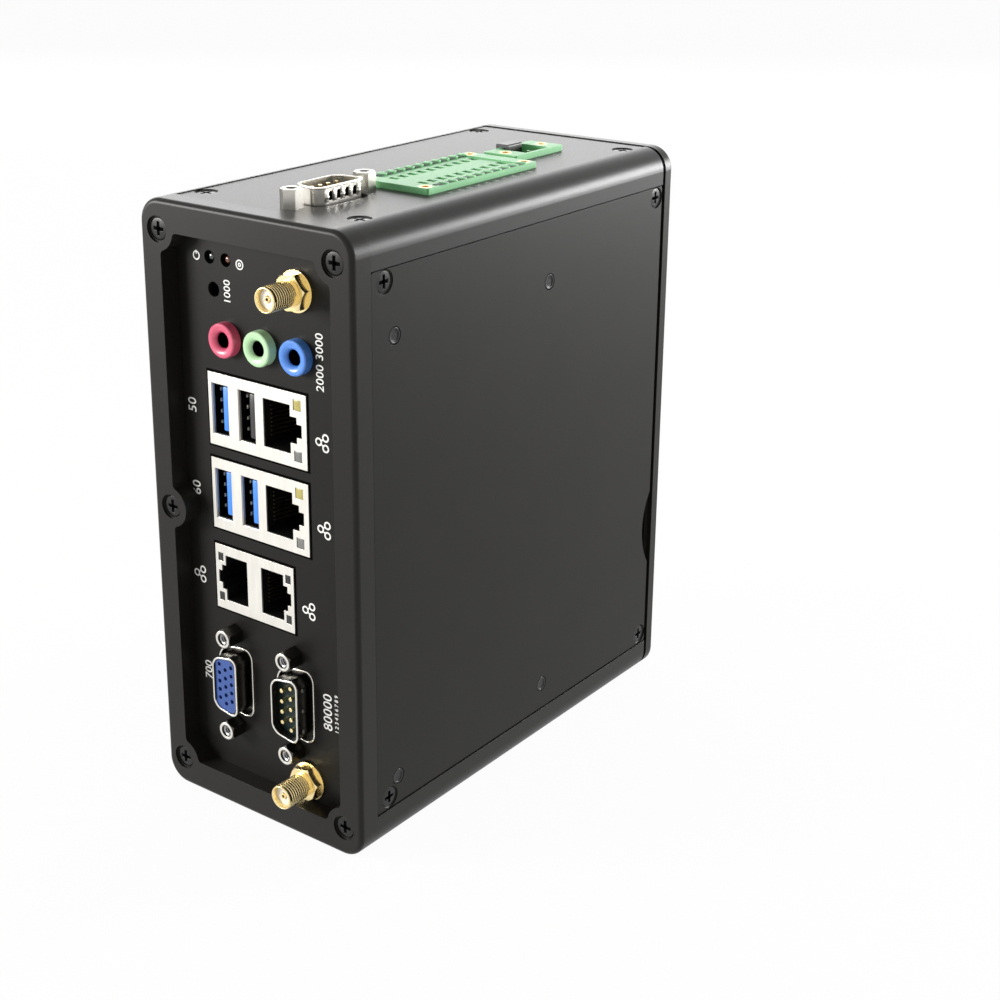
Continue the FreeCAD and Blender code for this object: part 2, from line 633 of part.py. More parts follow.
def pan_screws():
    """Pan-head screws: four on the main board's studs, two through the latch keeper."""
    board = [fuse([rod("x", y, z, pan_head_r, block_left, block_left + pan_head_h),
                   rod("x", y, z, pan_r, board_x - pan_grip, block_left)]) for y, z in stud_places]
    keeper = fuse([rod("y", 0, 0, pan_head_r, -pan_head_h, 0),
                   rod("y", 0, 0, screw_r, 0, keeper_t + keeper_grip)])
    return board + [facing(keeper, "rear", x, bracket_y + keeper_t, keeper_screw_z) for x in keeper_screw_x]


post_gap, post_in, over_rear = 1.4, 2.4, 3.6
spacer_r, card_lift = 2.2, 2.6
post_x = (feed_x - post_gap - spacer_r, header_x + header_w - post_in)


def header_board():
    """Board under the top sheet that carries both pluggable headers."""
    return box(post_x[0] - post_in, header_x + header_w, header_y[0], feed_y[1] + over_rear,
               board_top - board_t, board_top)




def spacers():
    """Turned spacers: four hang the header board from the top sheet, two carry the storage card."""
    posts = [rod("z", x, y, spacer_r, board_top, top_under)
             for x in post_x for y in (feed_y[0] + post_in, feed_y[1] + over_rear - post_in)]
    return posts + [rod("x", card_end - spacer_r, z, spacer_r, block_left, block_left + card_lift)
                    for z in (card_low + card_post_in, card_low + card_w - card_post_in)]


def front_board():
    """Small board across the front that carries the audio jacks, the lamps and the switch."""
    return box(block_left, jack_x[-1] + jack_body[0] / 2 + 2.2, front_board_y, front_board_y + board_t,
               jack_z - jack_body[1] / 2 - 1.7, lamp_z + 1.4)


def lamp(x):
    """Light pipe: domed end in the panel, straight stem back to its lamp."""
    stem = rod("y", x, lamp_z, lamp_r, panel_y - 0.2, front_board_y)
    rim = [e for e in stem.Edges if e.BoundBox.YMax < panel_y - 0.1]
    return stem.makeFillet(0.5, rim)


collar_r, collar_t, collar_back, stem_r = 2.3, 1.0, 1.2, 1.0
switch_y, switch_half, switch_over = 14.0, 2.2, 0.4


def reset_button():
    """Recessed push button: plain cap on a collar that stays behind the panel."""
    y = panel_back + collar_back
    return fuse([rod("y", button_x, button_z, button_r, panel_y + 0.5, y),
                 rod("y", button_x, button_z, collar_r, y, y + collar_t),
                 rod("y", button_x, button_z, stem_r, y + collar_t, switch_y + switch_over)])


def reset_switch():
    """Push switch on the front board; its well leaves room for the stroke."""
    body = box(button_x - switch_half, button_x + switch_half, switch_y, front_board_y,
               button_z - switch_half, button_z + switch_half)
    deep = switch_y + switch_over + button_travel + 0.4
    return body.cut(rod("y", button_x, button_z, stem_r + 0.3, switch_y, deep))


chip_y, chip_z = 68.0, 76.0     # middle of the processor on the board's left side
carrier, die, carrier_t, die_t, pad_t = 28.0, 14.0, 1.2, 1.2, 0.2
block_size, block_hole_in = 48.0, 5.0


def heat_block():
    """Plain aluminium block that carries heat from the processor to the left sheet."""
    half = block_size / 2
    right = board_x - carrier_t - die_t - pad_t
    block = slab(rect(chip_y - half, chip_y + half, chip_z - half, chip_z + half, 2.0), "yz", sheet_back, right)
    for a in (block_hole_in - half, half - block_hole_in):
        for b in (block_hole_in - half, half - block_hole_in):
            block = block.cut(rod("x", chip_y + a, chip_z + b, screw_hole_r, sheet_back, right))
    return block


def square_on_chip(side, x0, x1):
    return box(x0, x1, chip_y - side / 2, chip_y + side / 2, chip_z - side / 2, chip_z + side / 2)


def processor():
    return fuse([square_on_chip(carrier, board_x - carrier_t, board_x),
                 square_on_chip(die, board_x - carrier_t - die_t, board_x - carrier_t)])


def thermal_pad():
    right = board_x - carrier_t - die_t
    return square_on_chip(die + 4.0, right - pad_t, right)


card_y, card_top_room, card_w, card_len, card_pcb, card_post_in = 62.0, 4.7, 29.8, 50.8, 1.0, 3.0
card_low = height - board_high - card_top_room - card_w
card_end = card_y + card_len
socket_y, socket_t, memory_gap, memory_len, memory_deep = 62.0, 6.0, 4.9, 67.6, 29.5
memory_low = card_low - memory_gap - memory_len
card_plane, card_t, chip_t = 3.4, 1.2, 1.2
socket_wide, arm_wide, arm_t, arm_len, grip = 5.2, 3.0, 2.2, 28.0, 3.5
socket_play = 1.2               # from a socket's end to its module
memory_chip = (9.0, 12.0)


def memory_socket():
    """Socket with two side arms that hold the memory module flat over the board."""
    x, y, z = block_left, socket_y + socket_t, memory_low
    high = z + memory_len + 2 * socket_play
    socket = fuse([box(x, x + socket_wide, socket_y, y, z, high),
                   box(x, x + arm_wide, y, y + arm_len, z, z + arm_t),
                   box(x, x + arm_wide, y, y + arm_len, high - arm_t, high)])
    return socket.cut(box(x + card_plane, x + card_plane + card_t, y - grip, y,
                          z + socket_play - 0.2, high - socket_play + 0.2))


def memory_module():
    x, y, z = block_left + card_plane, socket_y + socket_t - grip, memory_low + socket_play
    card = box(x, x + card_t, y, y + memory_deep, z, z + memory_len)
    far = memory_len - memory_chip[0]
    middle = y + (memory_deep + grip) / 2
    chips = [box(x + card_t, x + card_t + chip_t, middle - memory_chip[1] / 2, middle + memory_chip[1] / 2,
                 z + a, z + a + memory_chip[0]) for a in (3.8, 15.8, far - 15.8, far - 3.8)]
    return fuse([card] + chips)


storage_chip, storage_chip_in, storage_socket_t, storage_grip = 14.0, 4.5, 4.4, 2.0
storage_chips = (8.0, 26.0)               # from the connector end to each chip


def storage_card():
    x = block_left + card_lift
    card = box(x, x + card_pcb, card_y, card_end, card_low, card_low + card_w)
    chips = [box(x + card_pcb, x + card_pcb + chip_t, y, y + storage_chip,
                 card_low + storage_chip_in, card_low + card_w - storage_chip_in)
             for y in (card_y + step for step in storage_chips)]
    return fuse([card] + chips)


def storage_socket():
    a, b = card_low + 1.5, card_low + card_w - 1.5
    x = block_left + card_lift
    body = box(block_left, block_left + storage_socket_t, card_y - 4.0, card_y + storage_grip, a, b)
    return body.cut(box(x, x + card_pcb, card_y, card_y + storage_grip, a, b))


cell_y, cell_z, cell_r, cell_t = 106.0, 78.0, 10.0, 3.2
cell_lift, holder_t, holder_wall = 0.6, 3.0, 1.4


def coin_cell():
    return rod("x", cell_y, cell_z, cell_r, block_left + cell_lift, block_left + cell_lift + cell_t)


def coin_holder():
    ring = rod("x", cell_y, cell_z, cell_r + holder_wall, block_left, block_left + holder_t)
    return ring.cut(rod("x", cell_y, cell_z, cell_r, block_left + cell_lift, block_left + holder_t))


# ---------------------------------------------------------------- rail clip on the back
din_rail_z = height / 2
bracket_w, bracket_t, seat_t = 36.0, 6.0, 3.0
seat_y, bracket_y = depth + seat_t, depth + bracket_t       # rail seat, back of the bracket
seat_play, hook_gap, hook_reach, hook_t = 0.3, 0.4, 3.0, 4.2
seat_z = (din_rail_z - din_rail_h / 2 - seat_play, din_rail_z + din_rail_h / 2 + seat_play)
hook_front = seat_y + lip_t + hook_gap
hook_y = hook_front + hook_t
bracket_x = (width / 2 - bracket_w / 2, width / 2 + bracket_w / 2)
bracket_below, bracket_above = 18.2, 7.2
bracket_z = (seat_z[0] - bracket_below, seat_z[1] + bracket_above)
slide_w, channel_floor = 16.0, 2.4
slide_x = (width / 2 - slide_w / 2, width / 2 + slide_w / 2)
channel_y = depth + channel_floor
keeper_t, keeper_h, keeper_w, keeper_grip, keeper_play = 1.2, 5.0, 33.0, 3.0, 0.3
tooth_h, tooth_lead, tooth_play = 2.4, 1.6, 0.4
keeper_top = seat_z[0] - tooth_h - latch_travel - keeper_play
keeper_screw_z = keeper_top - keeper_h / 2
keeper_screw_x = [width / 2 + side * (slide_w / 2 + 4.3) for side in (-1, 1)]
lug_half, lug_h, lug_up, lug_root = 1.5, 2.4, 1.0, 0.4
lug_z = (bracket_z[0] + lug_up, bracket_z[0] + lug_up + lug_h)
window_down = 5.0               # the spring works between the lug and this edge of the latch
window_top = seat_z[0] - window_down
foot_out, foot_slot, foot_slot_half = 7.0, 3.2, 4.0
foot_z = bracket_z[0] - foot_out
spring_r, wire_r, spring_turns = 1.05, 0.25, 7
bracket_sink, bracket_screw, bracket_screw_in, bracket_bore = 1.2, 8.0, 5.0, 12.0
bracket_screw_z = (seat_z[1] - 5.8, bracket_z[0] + 3.6)
bracket_screws = [(x, z, y) for z, y in zip(bracket_screw_z, (seat_y, bracket_y - bracket_sink))
                  for x in (bracket_x[0] + bracket_screw_in, bracket_x[1] - bracket_screw_in)]


def rail_bracket():
    """Extruded bracket: rail seat between a fixed upper hook and the channel of the latch."""
    z0, z1 = bracket_z
    section = [(depth, z0, 0.5), (depth, z1, 0.5), (hook_y, z1, 1.2), (hook_y, seat_z[1] - hook_reach, 0.8),
               (hook_front, seat_z[1] - hook_reach, 0.3), (hook_front, seat_z[1], 0), (seat_y, seat_z[1], 0),
               (seat_y, seat_z[0], 0), (bracket_y, seat_z[0], 0.4), (bracket_y, z0, 0.5)]
    body = slab(section, "yz", bracket_x[0], bracket_x[1])
    body = body.cut(box(slide_x[0], slide_x[1], channel_y, bracket_y, z0, seat_z[0]))
    mid = (slide_x[0] + slide_x[1]) / 2
    lug = box(mid - lug_half, mid + lug_half, channel_y - lug_root, bracket_y - 0.2, lug_z[0], lug_z[1])
    body = fuse([body, lug])
    for x, z, y in bracket_screws:
        body = body.cut(facing(countersink(bracket_bore, 0.25, bracket_sink), "rear", x, y, z))
    for x in keeper_screw_x:
        body = body.cut(rod("y", x, keeper_screw_z, screw_r, bracket_y - keeper_grip, bracket_y))
    return body


def rail_latch():
    """Sprung slide: its tooth holds the rail's lower lip, its foot takes a screwdriver."""
    g = latch_gap
    x0, x1 = slide_x[0] + g, slide_x[1] - g
    front, back = channel_y + g, bracket_y - g
    lip, tip = seat_z[0] - tooth_play, seat_z[0] + hook_reach
    section = [(front, foot_z, 0.6), (front, lip, 0.3), (hook_front, lip, 0), (hook_front, tip, 0.3),
               (hook_y, tip - tooth_lead, 0.5),
               (hook_y, seat_z[0] - tooth_h, 0.4), (back, seat_z[0] - tooth_h, 0), (back, foot_z, 0.6)]
    slide = slab(section, "yz", x0, x1)
    mid = (x0 + x1) / 2
    slot = rect(mid - foot_slot_half, mid + foot_slot_half, foot_z + 2.0, foot_z + 2.0 + foot_slot, 1.2)
    slide = slide.cut(slab(slot, "xz", front, back))
    return slide.cut(box(mid - lug_half - g, mid + lug_half + g, front, back, lug_z[0] - g, window_top))


def latch_spring():
    """Small compression spring in the latch's window, standing on the lug."""
    mid = (slide_x[0] + slide_x[1]) / 2
    low, high = lug_z[1] + wire_r, window_top - wire_r
    coil = Part.makeHelix((high - low) / spring_turns, high - low, spring_r)
    section = Part.Wire(Part.makeCircle(wire_r, V(spring_r, 0, 0), V(0, 1, 0)))
    spring = Part.Wire(coil).makePipeShell([section], True, True)
    spring.translate(V(mid, (channel_y + bracket_y) / 2, low))
    return spring


def latch_keeper():
    """Cover strip screwed over the channel so that the latch can only slide."""
    x0, x1 = width / 2 - keeper_w / 2, width / 2 + keeper_w / 2
    strip = slab(rect(x0, x1, keeper_top - keeper_h, keeper_top, 0.8), "xz", bracket_y, bracket_y + keeper_t)
    for x in keeper_screw_x:
        strip = strip.cut(rod("y", x, keeper_screw_z, screw_hole_r, bracket_y, bracket_y + keeper_t))
    return strip


# ---------------------------------------------------------------- write the nodes
save("front_frame", front_frame())
save("front_panel", front_panel())
for side_name, left in (("left", True), ("right", False)):
    for end_name, top in (("top", True), ("bottom", False)):
        save("corner_rail_" + end_name + "_" + side_name, corner_rail(left, top))
right_sheet = side_sheet()
save("side_sheet_right", right_sheet)
save("side_sheet_left", mirrored(right_sheet))
save("top_sheet", top_cutouts(end_sheet(True)))
save("bottom_sheet", end_sheet(False))
save("rear_plate", rear_plate())
save("side_studs_right", flush_studs(False))
save("side_studs_left", flush_studs(True))

stacks = [usb_pair_and_lan(block_left, low) for low in stack_low]
twin_shell, twin_body, twin_glass = twin_lan(block_left, twin_low, twin_w, twin_h)
save("port_stack_shells", group([s[0] for s in stacks]))
save("port_stack_bodies", group([s[1] for s in stacks]))
save("usb_tongue_black", stacks[1][2][1])
save("usb_tongues_blue", group(stacks[0][2] + [stacks[1][2][0]]))
save("twin_port_shell", twin_shell)
save("twin_port_body", twin_body)
save("port_lamps", group(stacks[0][3] + stacks[1][3] + twin_glass))

save("video_shell", facing(dsub_shell(socket_long, socket_short, False),
                           "front", dsub_x[0], panel_back, dsub_z))
save("video_insulator", facing(dsub_insulator(socket_long, socket_short, 0.4 - dshell_out, fifteen_holes),
                               "front", dsub_x[0], panel_back, dsub_z))
pins = nine_pin_set()
block = dsub_insulator(plug_long, plug_short, pin_floor, []).cut(fuse(pins))
serial = (dsub_shell(plug_long, plug_short, True), block, group(pins))
for part_name, shape in zip(("shells", "insulators", "pins"), serial):
    save("serial_" + part_name, group([facing(shape, "front", dsub_x[1], panel_back, dsub_z),
                                       facing(shape, "top", top_com_x, top_com_front, top_under)]))
screws = jackscrews(jackscrew_out)
save("jackscrews", group([facing(s, "front", x, panel_y, dsub_z) for x in dsub_x for s in screws]
                         + [facing(s, "top", top_com_x, top_com_front, height - sheet_inset) for s in screws]))

for name, x in zip(("pink", "green", "blue"), jack_x):
    save("audio_jack_" + name, audio_jack(x))
save("antenna_sockets", group([antenna_socket(x, z) for x, z in antenna_places]))
save("antenna_nuts", group([antenna_nut(x, z) for x, z in antenna_places]
                           + [antenna_washer(x, z) for x, z in antenna_places]))
save("light_pipes", group([lamp(x) for x in lamp_x]))
save("reset_button", reset_button())
save("reset_switch", reset_switch())

save("terminal_header", terminal_header())
save("feed_header", feed_header())
save("feed_key", feed_key())
save("header_pins", group(header_pins()))
save("header_bushes", bushes(header_ends + feed_ends))

save("main_board", main_board())
save("header_board", header_board())
save("front_board", front_board())
save("board_spacers", group(spacers()))
save("heat_block", heat_block())
save("processor", processor())
save("thermal_pad", thermal_pad())
save("card_sockets", group([memory_socket(), storage_socket()]))
save("memory_module", memory_module())
save("storage_card", storage_card())
save("coin_cell", coin_cell())
save("coin_holder", coin_holder())

save("rail_bracket", rail_bracket())
save("rail_latch", rail_latch())
save("latch_spring", latch_spring())
save("latch_keeper", latch_keeper())

long_one, short_one = countersunk_screw(long_screw), countersunk_screw(short_screw)
save("long_screws", group([facing(long_one, "front", x, frame_sink, z) for x, z in front_places]
                          + [facing(long_one, "rear", x, depth, z) for x, z in front_corners]))
save("sheet_screws", group([facing(short_one, side, x, y, z)
                            for side, x in (("right", width - sheet_inset), ("left", sheet_inset))
                            for y, z in side_places]
                           + [facing(short_one, side, x, y, z)
                              for side, z in (("top", height - sheet_inset), ("bottom", 0))
                              for x, y in top_places]))
save("bracket_screws", group([facing(countersunk_screw(bracket_screw), "rear", x, y, z)
                              for x, z, y in bracket_screws]))
save("pan_screws", group(pan_screws()))
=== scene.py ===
# %% [markdown]
# # A fanless industrial computer, dressed
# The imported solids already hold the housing, the ports and the rail clip in their real sizes.
# This script adds what a solid model leaves out: the finishes, cross recesses, threads, spring
# tips, contact wires and printed marks. Everything is in metres in the solids' own frame,
# with -Y out of the connector front and +Z up.

import json
import math

import bpy
from mathutils import Matrix, Vector


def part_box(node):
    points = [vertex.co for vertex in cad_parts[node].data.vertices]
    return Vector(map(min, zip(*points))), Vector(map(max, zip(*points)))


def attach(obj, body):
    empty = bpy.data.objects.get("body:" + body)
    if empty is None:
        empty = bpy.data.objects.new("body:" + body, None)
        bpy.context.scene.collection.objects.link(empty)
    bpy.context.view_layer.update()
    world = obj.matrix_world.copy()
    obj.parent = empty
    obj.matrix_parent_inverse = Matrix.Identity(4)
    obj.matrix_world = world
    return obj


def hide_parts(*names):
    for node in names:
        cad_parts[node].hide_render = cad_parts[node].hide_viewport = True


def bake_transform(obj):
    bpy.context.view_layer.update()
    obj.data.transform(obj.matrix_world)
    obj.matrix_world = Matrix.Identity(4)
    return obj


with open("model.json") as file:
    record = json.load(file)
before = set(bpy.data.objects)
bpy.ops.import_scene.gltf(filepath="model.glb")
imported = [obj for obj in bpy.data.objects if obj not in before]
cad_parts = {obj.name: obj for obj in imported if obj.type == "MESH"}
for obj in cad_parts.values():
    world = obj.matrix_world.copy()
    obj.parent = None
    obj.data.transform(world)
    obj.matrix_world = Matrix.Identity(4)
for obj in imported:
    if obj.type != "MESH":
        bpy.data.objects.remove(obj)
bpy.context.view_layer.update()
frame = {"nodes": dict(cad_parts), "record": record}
MM = 0.001
nodes = frame["nodes"]
print("solids loaded:", len(nodes), "nodes")

# %% [markdown]
# ## Reading places from the solids
# A node such as the screws holds many separate solids. Their boxes say where each one is and
# which way it points, so no place is typed twice.


# %% boxes of the separate solids
def islands(node):
    """(low, high) corners of each separate solid of a node, ordered by place."""
    mesh = nodes[node].data
    keys = {}
    ids = [keys.setdefault(tuple(round(c, 6) for c in v.co), len(keys)) for v in mesh.vertices]
    root = list(range(len(keys)))

    def find(i):
        while root[i] != i:
            root[i] = root[root[i]]
            i = root[i]
        return i

    for edge in mesh.edges:
        root[find(ids[edge.vertices[0]])] = find(ids[edge.vertices[1]])
    boxes = {}
    for v, i in zip(mesh.vertices, ids):
        low, high = boxes.setdefault(find(i), (v.co.copy(), v.co.copy()))
        for k in range(3):
            low[k], high[k] = min(low[k], v.co[k]), max(high[k], v.co[k])
    return sorted(boxes.values(), key=lambda b: tuple(round(c, 4) for c in b[0]))


def in_mm(box):
    """Corners of a box in millimetres."""
    return [[v / MM for v in corner] for corner in box]


def front_spot(low, high, inset=0.0):
    """Middle of the front face of a box, or a little behind it."""
    return Vector(((low.x + high.x) / 2, low.y + inset * MM, (low.z + high.z) / 2)), "front"


panel_y, top_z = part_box("front_panel")[0].y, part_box("top_sheet")[1].z
print("front panel at y = %.1f mm, top sheet at z = %.1f mm" % (panel_y / MM, top_z / MM))

# %% [markdown]
# ## Finishes
# Each finish is one graph of nodes in object coordinates. A broad and a fine noise together
# shift the colour a little, and the fine one also moves the roughness and lifts the surface as
# a bump. A small bevel in the normal rounds the edges. Tin, steel, milled metal and the corner
# rails have the noise stretched into long lines.


# %% one finish from a few numbers
def finish(name, color, rough=0.5, metal=0.0, grain=2500, bump=0.1, vary=0.1, level=0.5,
           cloud=60, spread=0.06, stretch=(1, 1, 1), coat=0.0, detail=3.0, edge=0.12):
    mat = bpy.data.materials.new(name)
    mat.use_nodes = True
    tree = mat.node_tree
    shader = tree.nodes["Principled BSDF"]
    shader.inputs["Metallic"].default_value = metal
    shader.inputs["Specular IOR Level"].default_value = level
    shader.inputs["Coat Weight"].default_value = coat
    shader.inputs["Coat Roughness"].default_value = 0.08
    place = tree.nodes.new("ShaderNodeTexCoord")
    squeeze = tree.nodes.new("ShaderNodeMapping")
    squeeze.inputs["Scale"].default_value = stretch
    tree.links.new(place.outputs["Object"], squeeze.inputs["Vector"])
    fine = tree.nodes.new("ShaderNodeTexNoise")
    fine.inputs["Scale"].default_value = grain
    fine.inputs["Detail"].default_value = detail
    broad = tree.nodes.new("ShaderNodeTexNoise")
    broad.inputs["Scale"].default_value = cloud
    broad.inputs["Detail"].default_value = 4.0
    for noise in (fine, broad):
        tree.links.new(squeeze.outputs["Vector"], noise.inputs["Vector"])
    both = tree.nodes.new("ShaderNodeMath")
    both.operation = "ADD"
    tree.links.new(fine.outputs["Fac"], both.inputs[0])
    tree.links.new(broad.outputs["Fac"], both.inputs[1])
    ramp = tree.nodes.new("ShaderNodeMapRange")
    ramp.inputs["From Min"].default_value = 0.7
    ramp.inputs["From Max"].default_value = 1.3
    tree.links.new(both.outputs["Value"], ramp.inputs["Value"])
    tint = tree.nodes.new("ShaderNodeMix")
    tint.data_type = "RGBA"
    tint.inputs["A"].default_value = [c * (1 - vary) for c in color] + [1]
    tint.inputs["B"].default_value = [min(1, c * (1 + vary)) for c in color] + [1]
    tree.links.new(ramp.outputs["Result"], tint.inputs["Factor"])
    tree.links.new(tint.outputs["Result"], shader.inputs["Base Color"])
    dull = tree.nodes.new("ShaderNodeMapRange")
    dull.inputs["To Min"].default_value = max(0.02, rough - spread)
    dull.inputs["To Max"].default_value = min(1, rough + spread)
    tree.links.new(fine.outputs["Fac"], dull.inputs["Value"])
    tree.links.new(dull.outputs["Result"], shader.inputs["Roughness"])
    lift = tree.nodes.new("ShaderNodeBump")
    lift.inputs["Strength"].default_value = bump
    lift.inputs["Distance"].default_value = 0.1 * MM
    tree.links.new(fine.outputs["Fac"], lift.inputs["Height"])
    soft = tree.nodes.new("ShaderNodeBevel")
    soft.samples = 4
    soft.inputs["Radius"].default_value = edge * MM
    tree.links.new(soft.outputs["Normal"], lift.inputs["Normal"])
    tree.links.new(lift.outputs["Normal"], shader.inputs["Normal"])
    return mat


def paler_above(mat, z, color):
    """Takes the base colour to another one above a height."""
    tree = mat.node_tree
    shader = tree.nodes["Principled BSDF"]
    place = tree.nodes.new("ShaderNodeTexCoord")
    split = tree.nodes.new("ShaderNodeSeparateXYZ")
    over = tree.nodes.new("ShaderNodeMath")
    over.operation = "GREATER_THAN"
    over.inputs[1].default_value = z
    tree.links.new(place.outputs["Object"], split.inputs["Vector"])
    tree.links.new(split.outputs["Z"], over.inputs[0])
    blend = tree.nodes.new("ShaderNodeMix")
    blend.data_type = "RGBA"
    tree.links.new(over.outputs["Value"], blend.inputs["Factor"])
    tree.links.new(shader.inputs["Base Color"].links[0].from_socket, blend.inputs["A"])
    blend.inputs["B"].default_value = list(color) + [1]
    tree.links.new(blend.outputs["Result"], shader.inputs["Base Color"])
    return mat


def dress(piece, mat):
    """Puts one finish on every face of a piece."""
    if not piece.data.materials:
        piece.data.materials.append(mat)
    for slot in piece.material_slots:
        slot.material = mat
    return piece


# %% the finishes of this part
bezel_black = finish("bezel_black", (0.0125, 0.0117, 0.0100), 0.36, grain=2600, bump=0.04,
                     vary=0.10, level=0.20)
panel_black = finish("panel_black", (0.0075, 0.0070, 0.0058), 0.44, grain=2300, bump=0.05,
                     vary=0.14, level=0.16)
sheet_black = finish("sheet_black", (0.0085, 0.0080, 0.0066), 0.42, grain=2100, bump=0.06,
                     vary=0.14, level=0.17)
rail_black = finish("rail_black", (0.0090, 0.0086, 0.0074), 0.38, grain=2600, bump=0.04,
                    vary=0.10, level=0.24, stretch=(1, 0.25, 1))
top_black = finish("top_black", (0.016, 0.0152, 0.0135), 0.42, grain=2100, bump=0.04, vary=0.12,
                   level=0.42)
screw_black = finish("screw_black", (0.008, 0.0075, 0.007), 0.30, 0.2, grain=1800, bump=0.05,
                     vary=0.2, level=0.4)
# Near black with almost no reflection: painted shade for holes, recesses, slots and gaps.
shade_black = finish("shade_black", (0.0015, 0.0015, 0.0015), 0.9, grain=1800, bump=0.05, vary=0.2,
                    level=0.02)
tin = finish("tin", (0.74, 0.72, 0.67), 0.38, 0.8, grain=900, bump=0.05, vary=0.05,
             stretch=(1, 1, 0.2))
nickel = finish("nickel", (0.80, 0.775, 0.71), 0.26, 1.0, grain=1400, bump=0.01, vary=0.05,
                edge=0.03)
# Nickel darkened to near black: painted shade on the connector shells and jackscrews.
shaded_nickel = finish("shaded_nickel", (0.085, 0.082, 0.074), 0.30, 1.0, grain=1400, bump=0.006,
                      vary=0.06, edge=0.02)
# Above 0.14 m the colour turns pale again: painted light on the parts that stand up out of the top.
paler_above(shaded_nickel, 0.14, (0.56, 0.54, 0.49))
gold = finish("gold", (0.93, 0.76, 0.40), 0.25, 1.0, grain=1600, bump=0.02, vary=0.05)
# Gold darkened to brown: painted shade on the wires deep in the network sockets.
shaded_gold = finish("shaded_gold", (0.16, 0.13, 0.07), 0.38, 1.0, grain=1600, bump=0.03, vary=0.12)
brass = finish("brass", (0.86, 0.55, 0.22), 0.36, 1.0, grain=1500, bump=0.05, vary=0.10)
port_black = finish("port_black", (0.004, 0.004, 0.004), 0.45, grain=1500, bump=0.04, vary=0.2,
                    level=0.3)
tongue_blue = finish("tongue_blue", (0.05, 0.24, 0.78), 0.34, grain=1500, bump=0.03, vary=0.08)
tongue_black = finish("tongue_black", (0.030, 0.028, 0.032), 0.30, grain=1500, bump=0.03, vary=0.15)
video_blue = finish("video_blue", (0.030, 0.080, 0.30), 0.42, grain=1500, bump=0.05, vary=0.10)
serial_dark = finish("serial_dark", (0.003, 0.014, 0.012), 0.35, grain=1500, bump=0.04, vary=0.2,
                     level=0.25)
pink = finish("pink", (0.66, 0.085, 0.17), 0.30, grain=1600, bump=0.04, vary=0.08, coat=0.3)
mint = finish("mint", (0.46, 0.73, 0.42), 0.30, grain=1600, bump=0.04, vary=0.08, coat=0.3)
sky = finish("sky", (0.07, 0.24, 0.72), 0.30, grain=1600, bump=0.04, vary=0.08, coat=0.3)
# Dark green: painted shade in the slots of the header walls.
header_slot_shade = finish("header_slot_shade", (0.006, 0.06, 0.016), 0.6, grain=1300, bump=0.05, vary=0.10)
header_green = finish("header_green", (0.23, 0.62, 0.27), 0.46, grain=1300, bump=0.05, vary=0.10)
key_black = finish("key_black", (0.008, 0.008, 0.008), 0.40, grain=1500, bump=0.05, vary=0.2)
board_green = finish("board_green", (0.012, 0.10, 0.04), 0.32, grain=500, bump=0.10, vary=0.3,
                     cloud=300)
chip_black = finish("chip_black", (0.02, 0.02, 0.022), 0.5, grain=1500, bump=0.08, vary=0.15)
pad_grey = finish("pad_grey", (0.22, 0.22, 0.25), 0.7, grain=900, bump=0.15, vary=0.1)
milled = finish("milled", (0.40, 0.40, 0.415), 0.40, 1.0, grain=700, bump=0.04, vary=0.06,
                stretch=(1, 0.1, 1))
steel = finish("steel", (0.40, 0.40, 0.41), 0.34, 1.0, grain=900, bump=0.04, vary=0.08,
               stretch=(1, 1, 0.2))
print_white = finish("print_white", (0.80, 0.80, 0.78), 0.6, grain=2200, bump=0.05, vary=0.05,
                     edge=0.01)
ptfe = finish("ptfe", (0.86, 0.83, 0.74), 0.5, grain=1500, bump=0.04, vary=0.04)
lamp_yellow = finish("lamp_yellow", (0.42, 0.36, 0.09), 0.30, grain=1200, bump=0.05, vary=0.15,
                     coat=0.5)
lamp_grey = finish("lamp_grey", (0.16, 0.16, 0.155), 0.30, grain=1200, bump=0.05, vary=0.15,
                   coat=0.5)
lamp_dark = finish("lamp_dark", (0.006, 0.006, 0.006), 0.25, grain=1200, bump=0.05, vary=0.2,
                   coat=0.2)
lamp_green = finish("lamp_green", (0.030, 0.040, 0.032), 0.18, grain=1200, bump=0.05, vary=0.2,
                    coat=0.8)
lamp_red = finish("lamp_red", (0.10, 0.030, 0.016), 0.18, grain=1200, bump=0.05, vary=0.2, coat=0.8)

by_node = {
    bezel_black: ["front_frame", "rear_plate"],
    panel_black: ["front_panel"],
    sheet_black: ["side_sheet_right", "side_sheet_left", "bottom_sheet", "side_studs_right",
                  "side_studs_left"],
    rail_black: ["corner_rail_top_left", "corner_rail_top_right", "corner_rail_bottom_left",
                 "corner_rail_bottom_right"],
    top_black: ["top_sheet"],
    screw_black: ["long_screws", "sheet_screws"],
    tin: ["port_stack_shells", "twin_port_shell"],
    nickel: ["header_pins", "board_spacers"],
    shaded_nickel: ["video_shell", "serial_shells", "jackscrews"],
    gold: ["antenna_sockets", "antenna_nuts", "serial_pins"],
    brass: ["header_bushes"],
    port_black: ["port_stack_bodies", "twin_port_body", "card_sockets", "coin_holder", "reset_button",
                 "reset_switch"],
    tongue_blue: ["usb_tongues_blue"],
    tongue_black: ["usb_tongue_black"],
    video_blue: ["video_insulator"],
    serial_dark: ["serial_insulators"],
    pink: ["audio_jack_pink"],
    mint: ["audio_jack_green"],
    sky: ["audio_jack_blue"],
    header_green: ["terminal_header", "feed_header"],
    key_black: ["feed_key"],
    board_green: ["main_board", "header_board", "front_board", "memory_module", "storage_card"],
    chip_black: ["processor"],
    pad_grey: ["thermal_pad"],
    milled: ["heat_block", "rail_bracket"],
    steel: ["coin_cell", "rail_latch", "latch_spring", "latch_keeper", "bracket_screws", "pan_screws"],
    lamp_grey: ["port_lamps"],
    lamp_dark: ["light_pipes"],
}
for mat, names in by_node.items():
    for name in names:
        dress(nodes[name], mat)
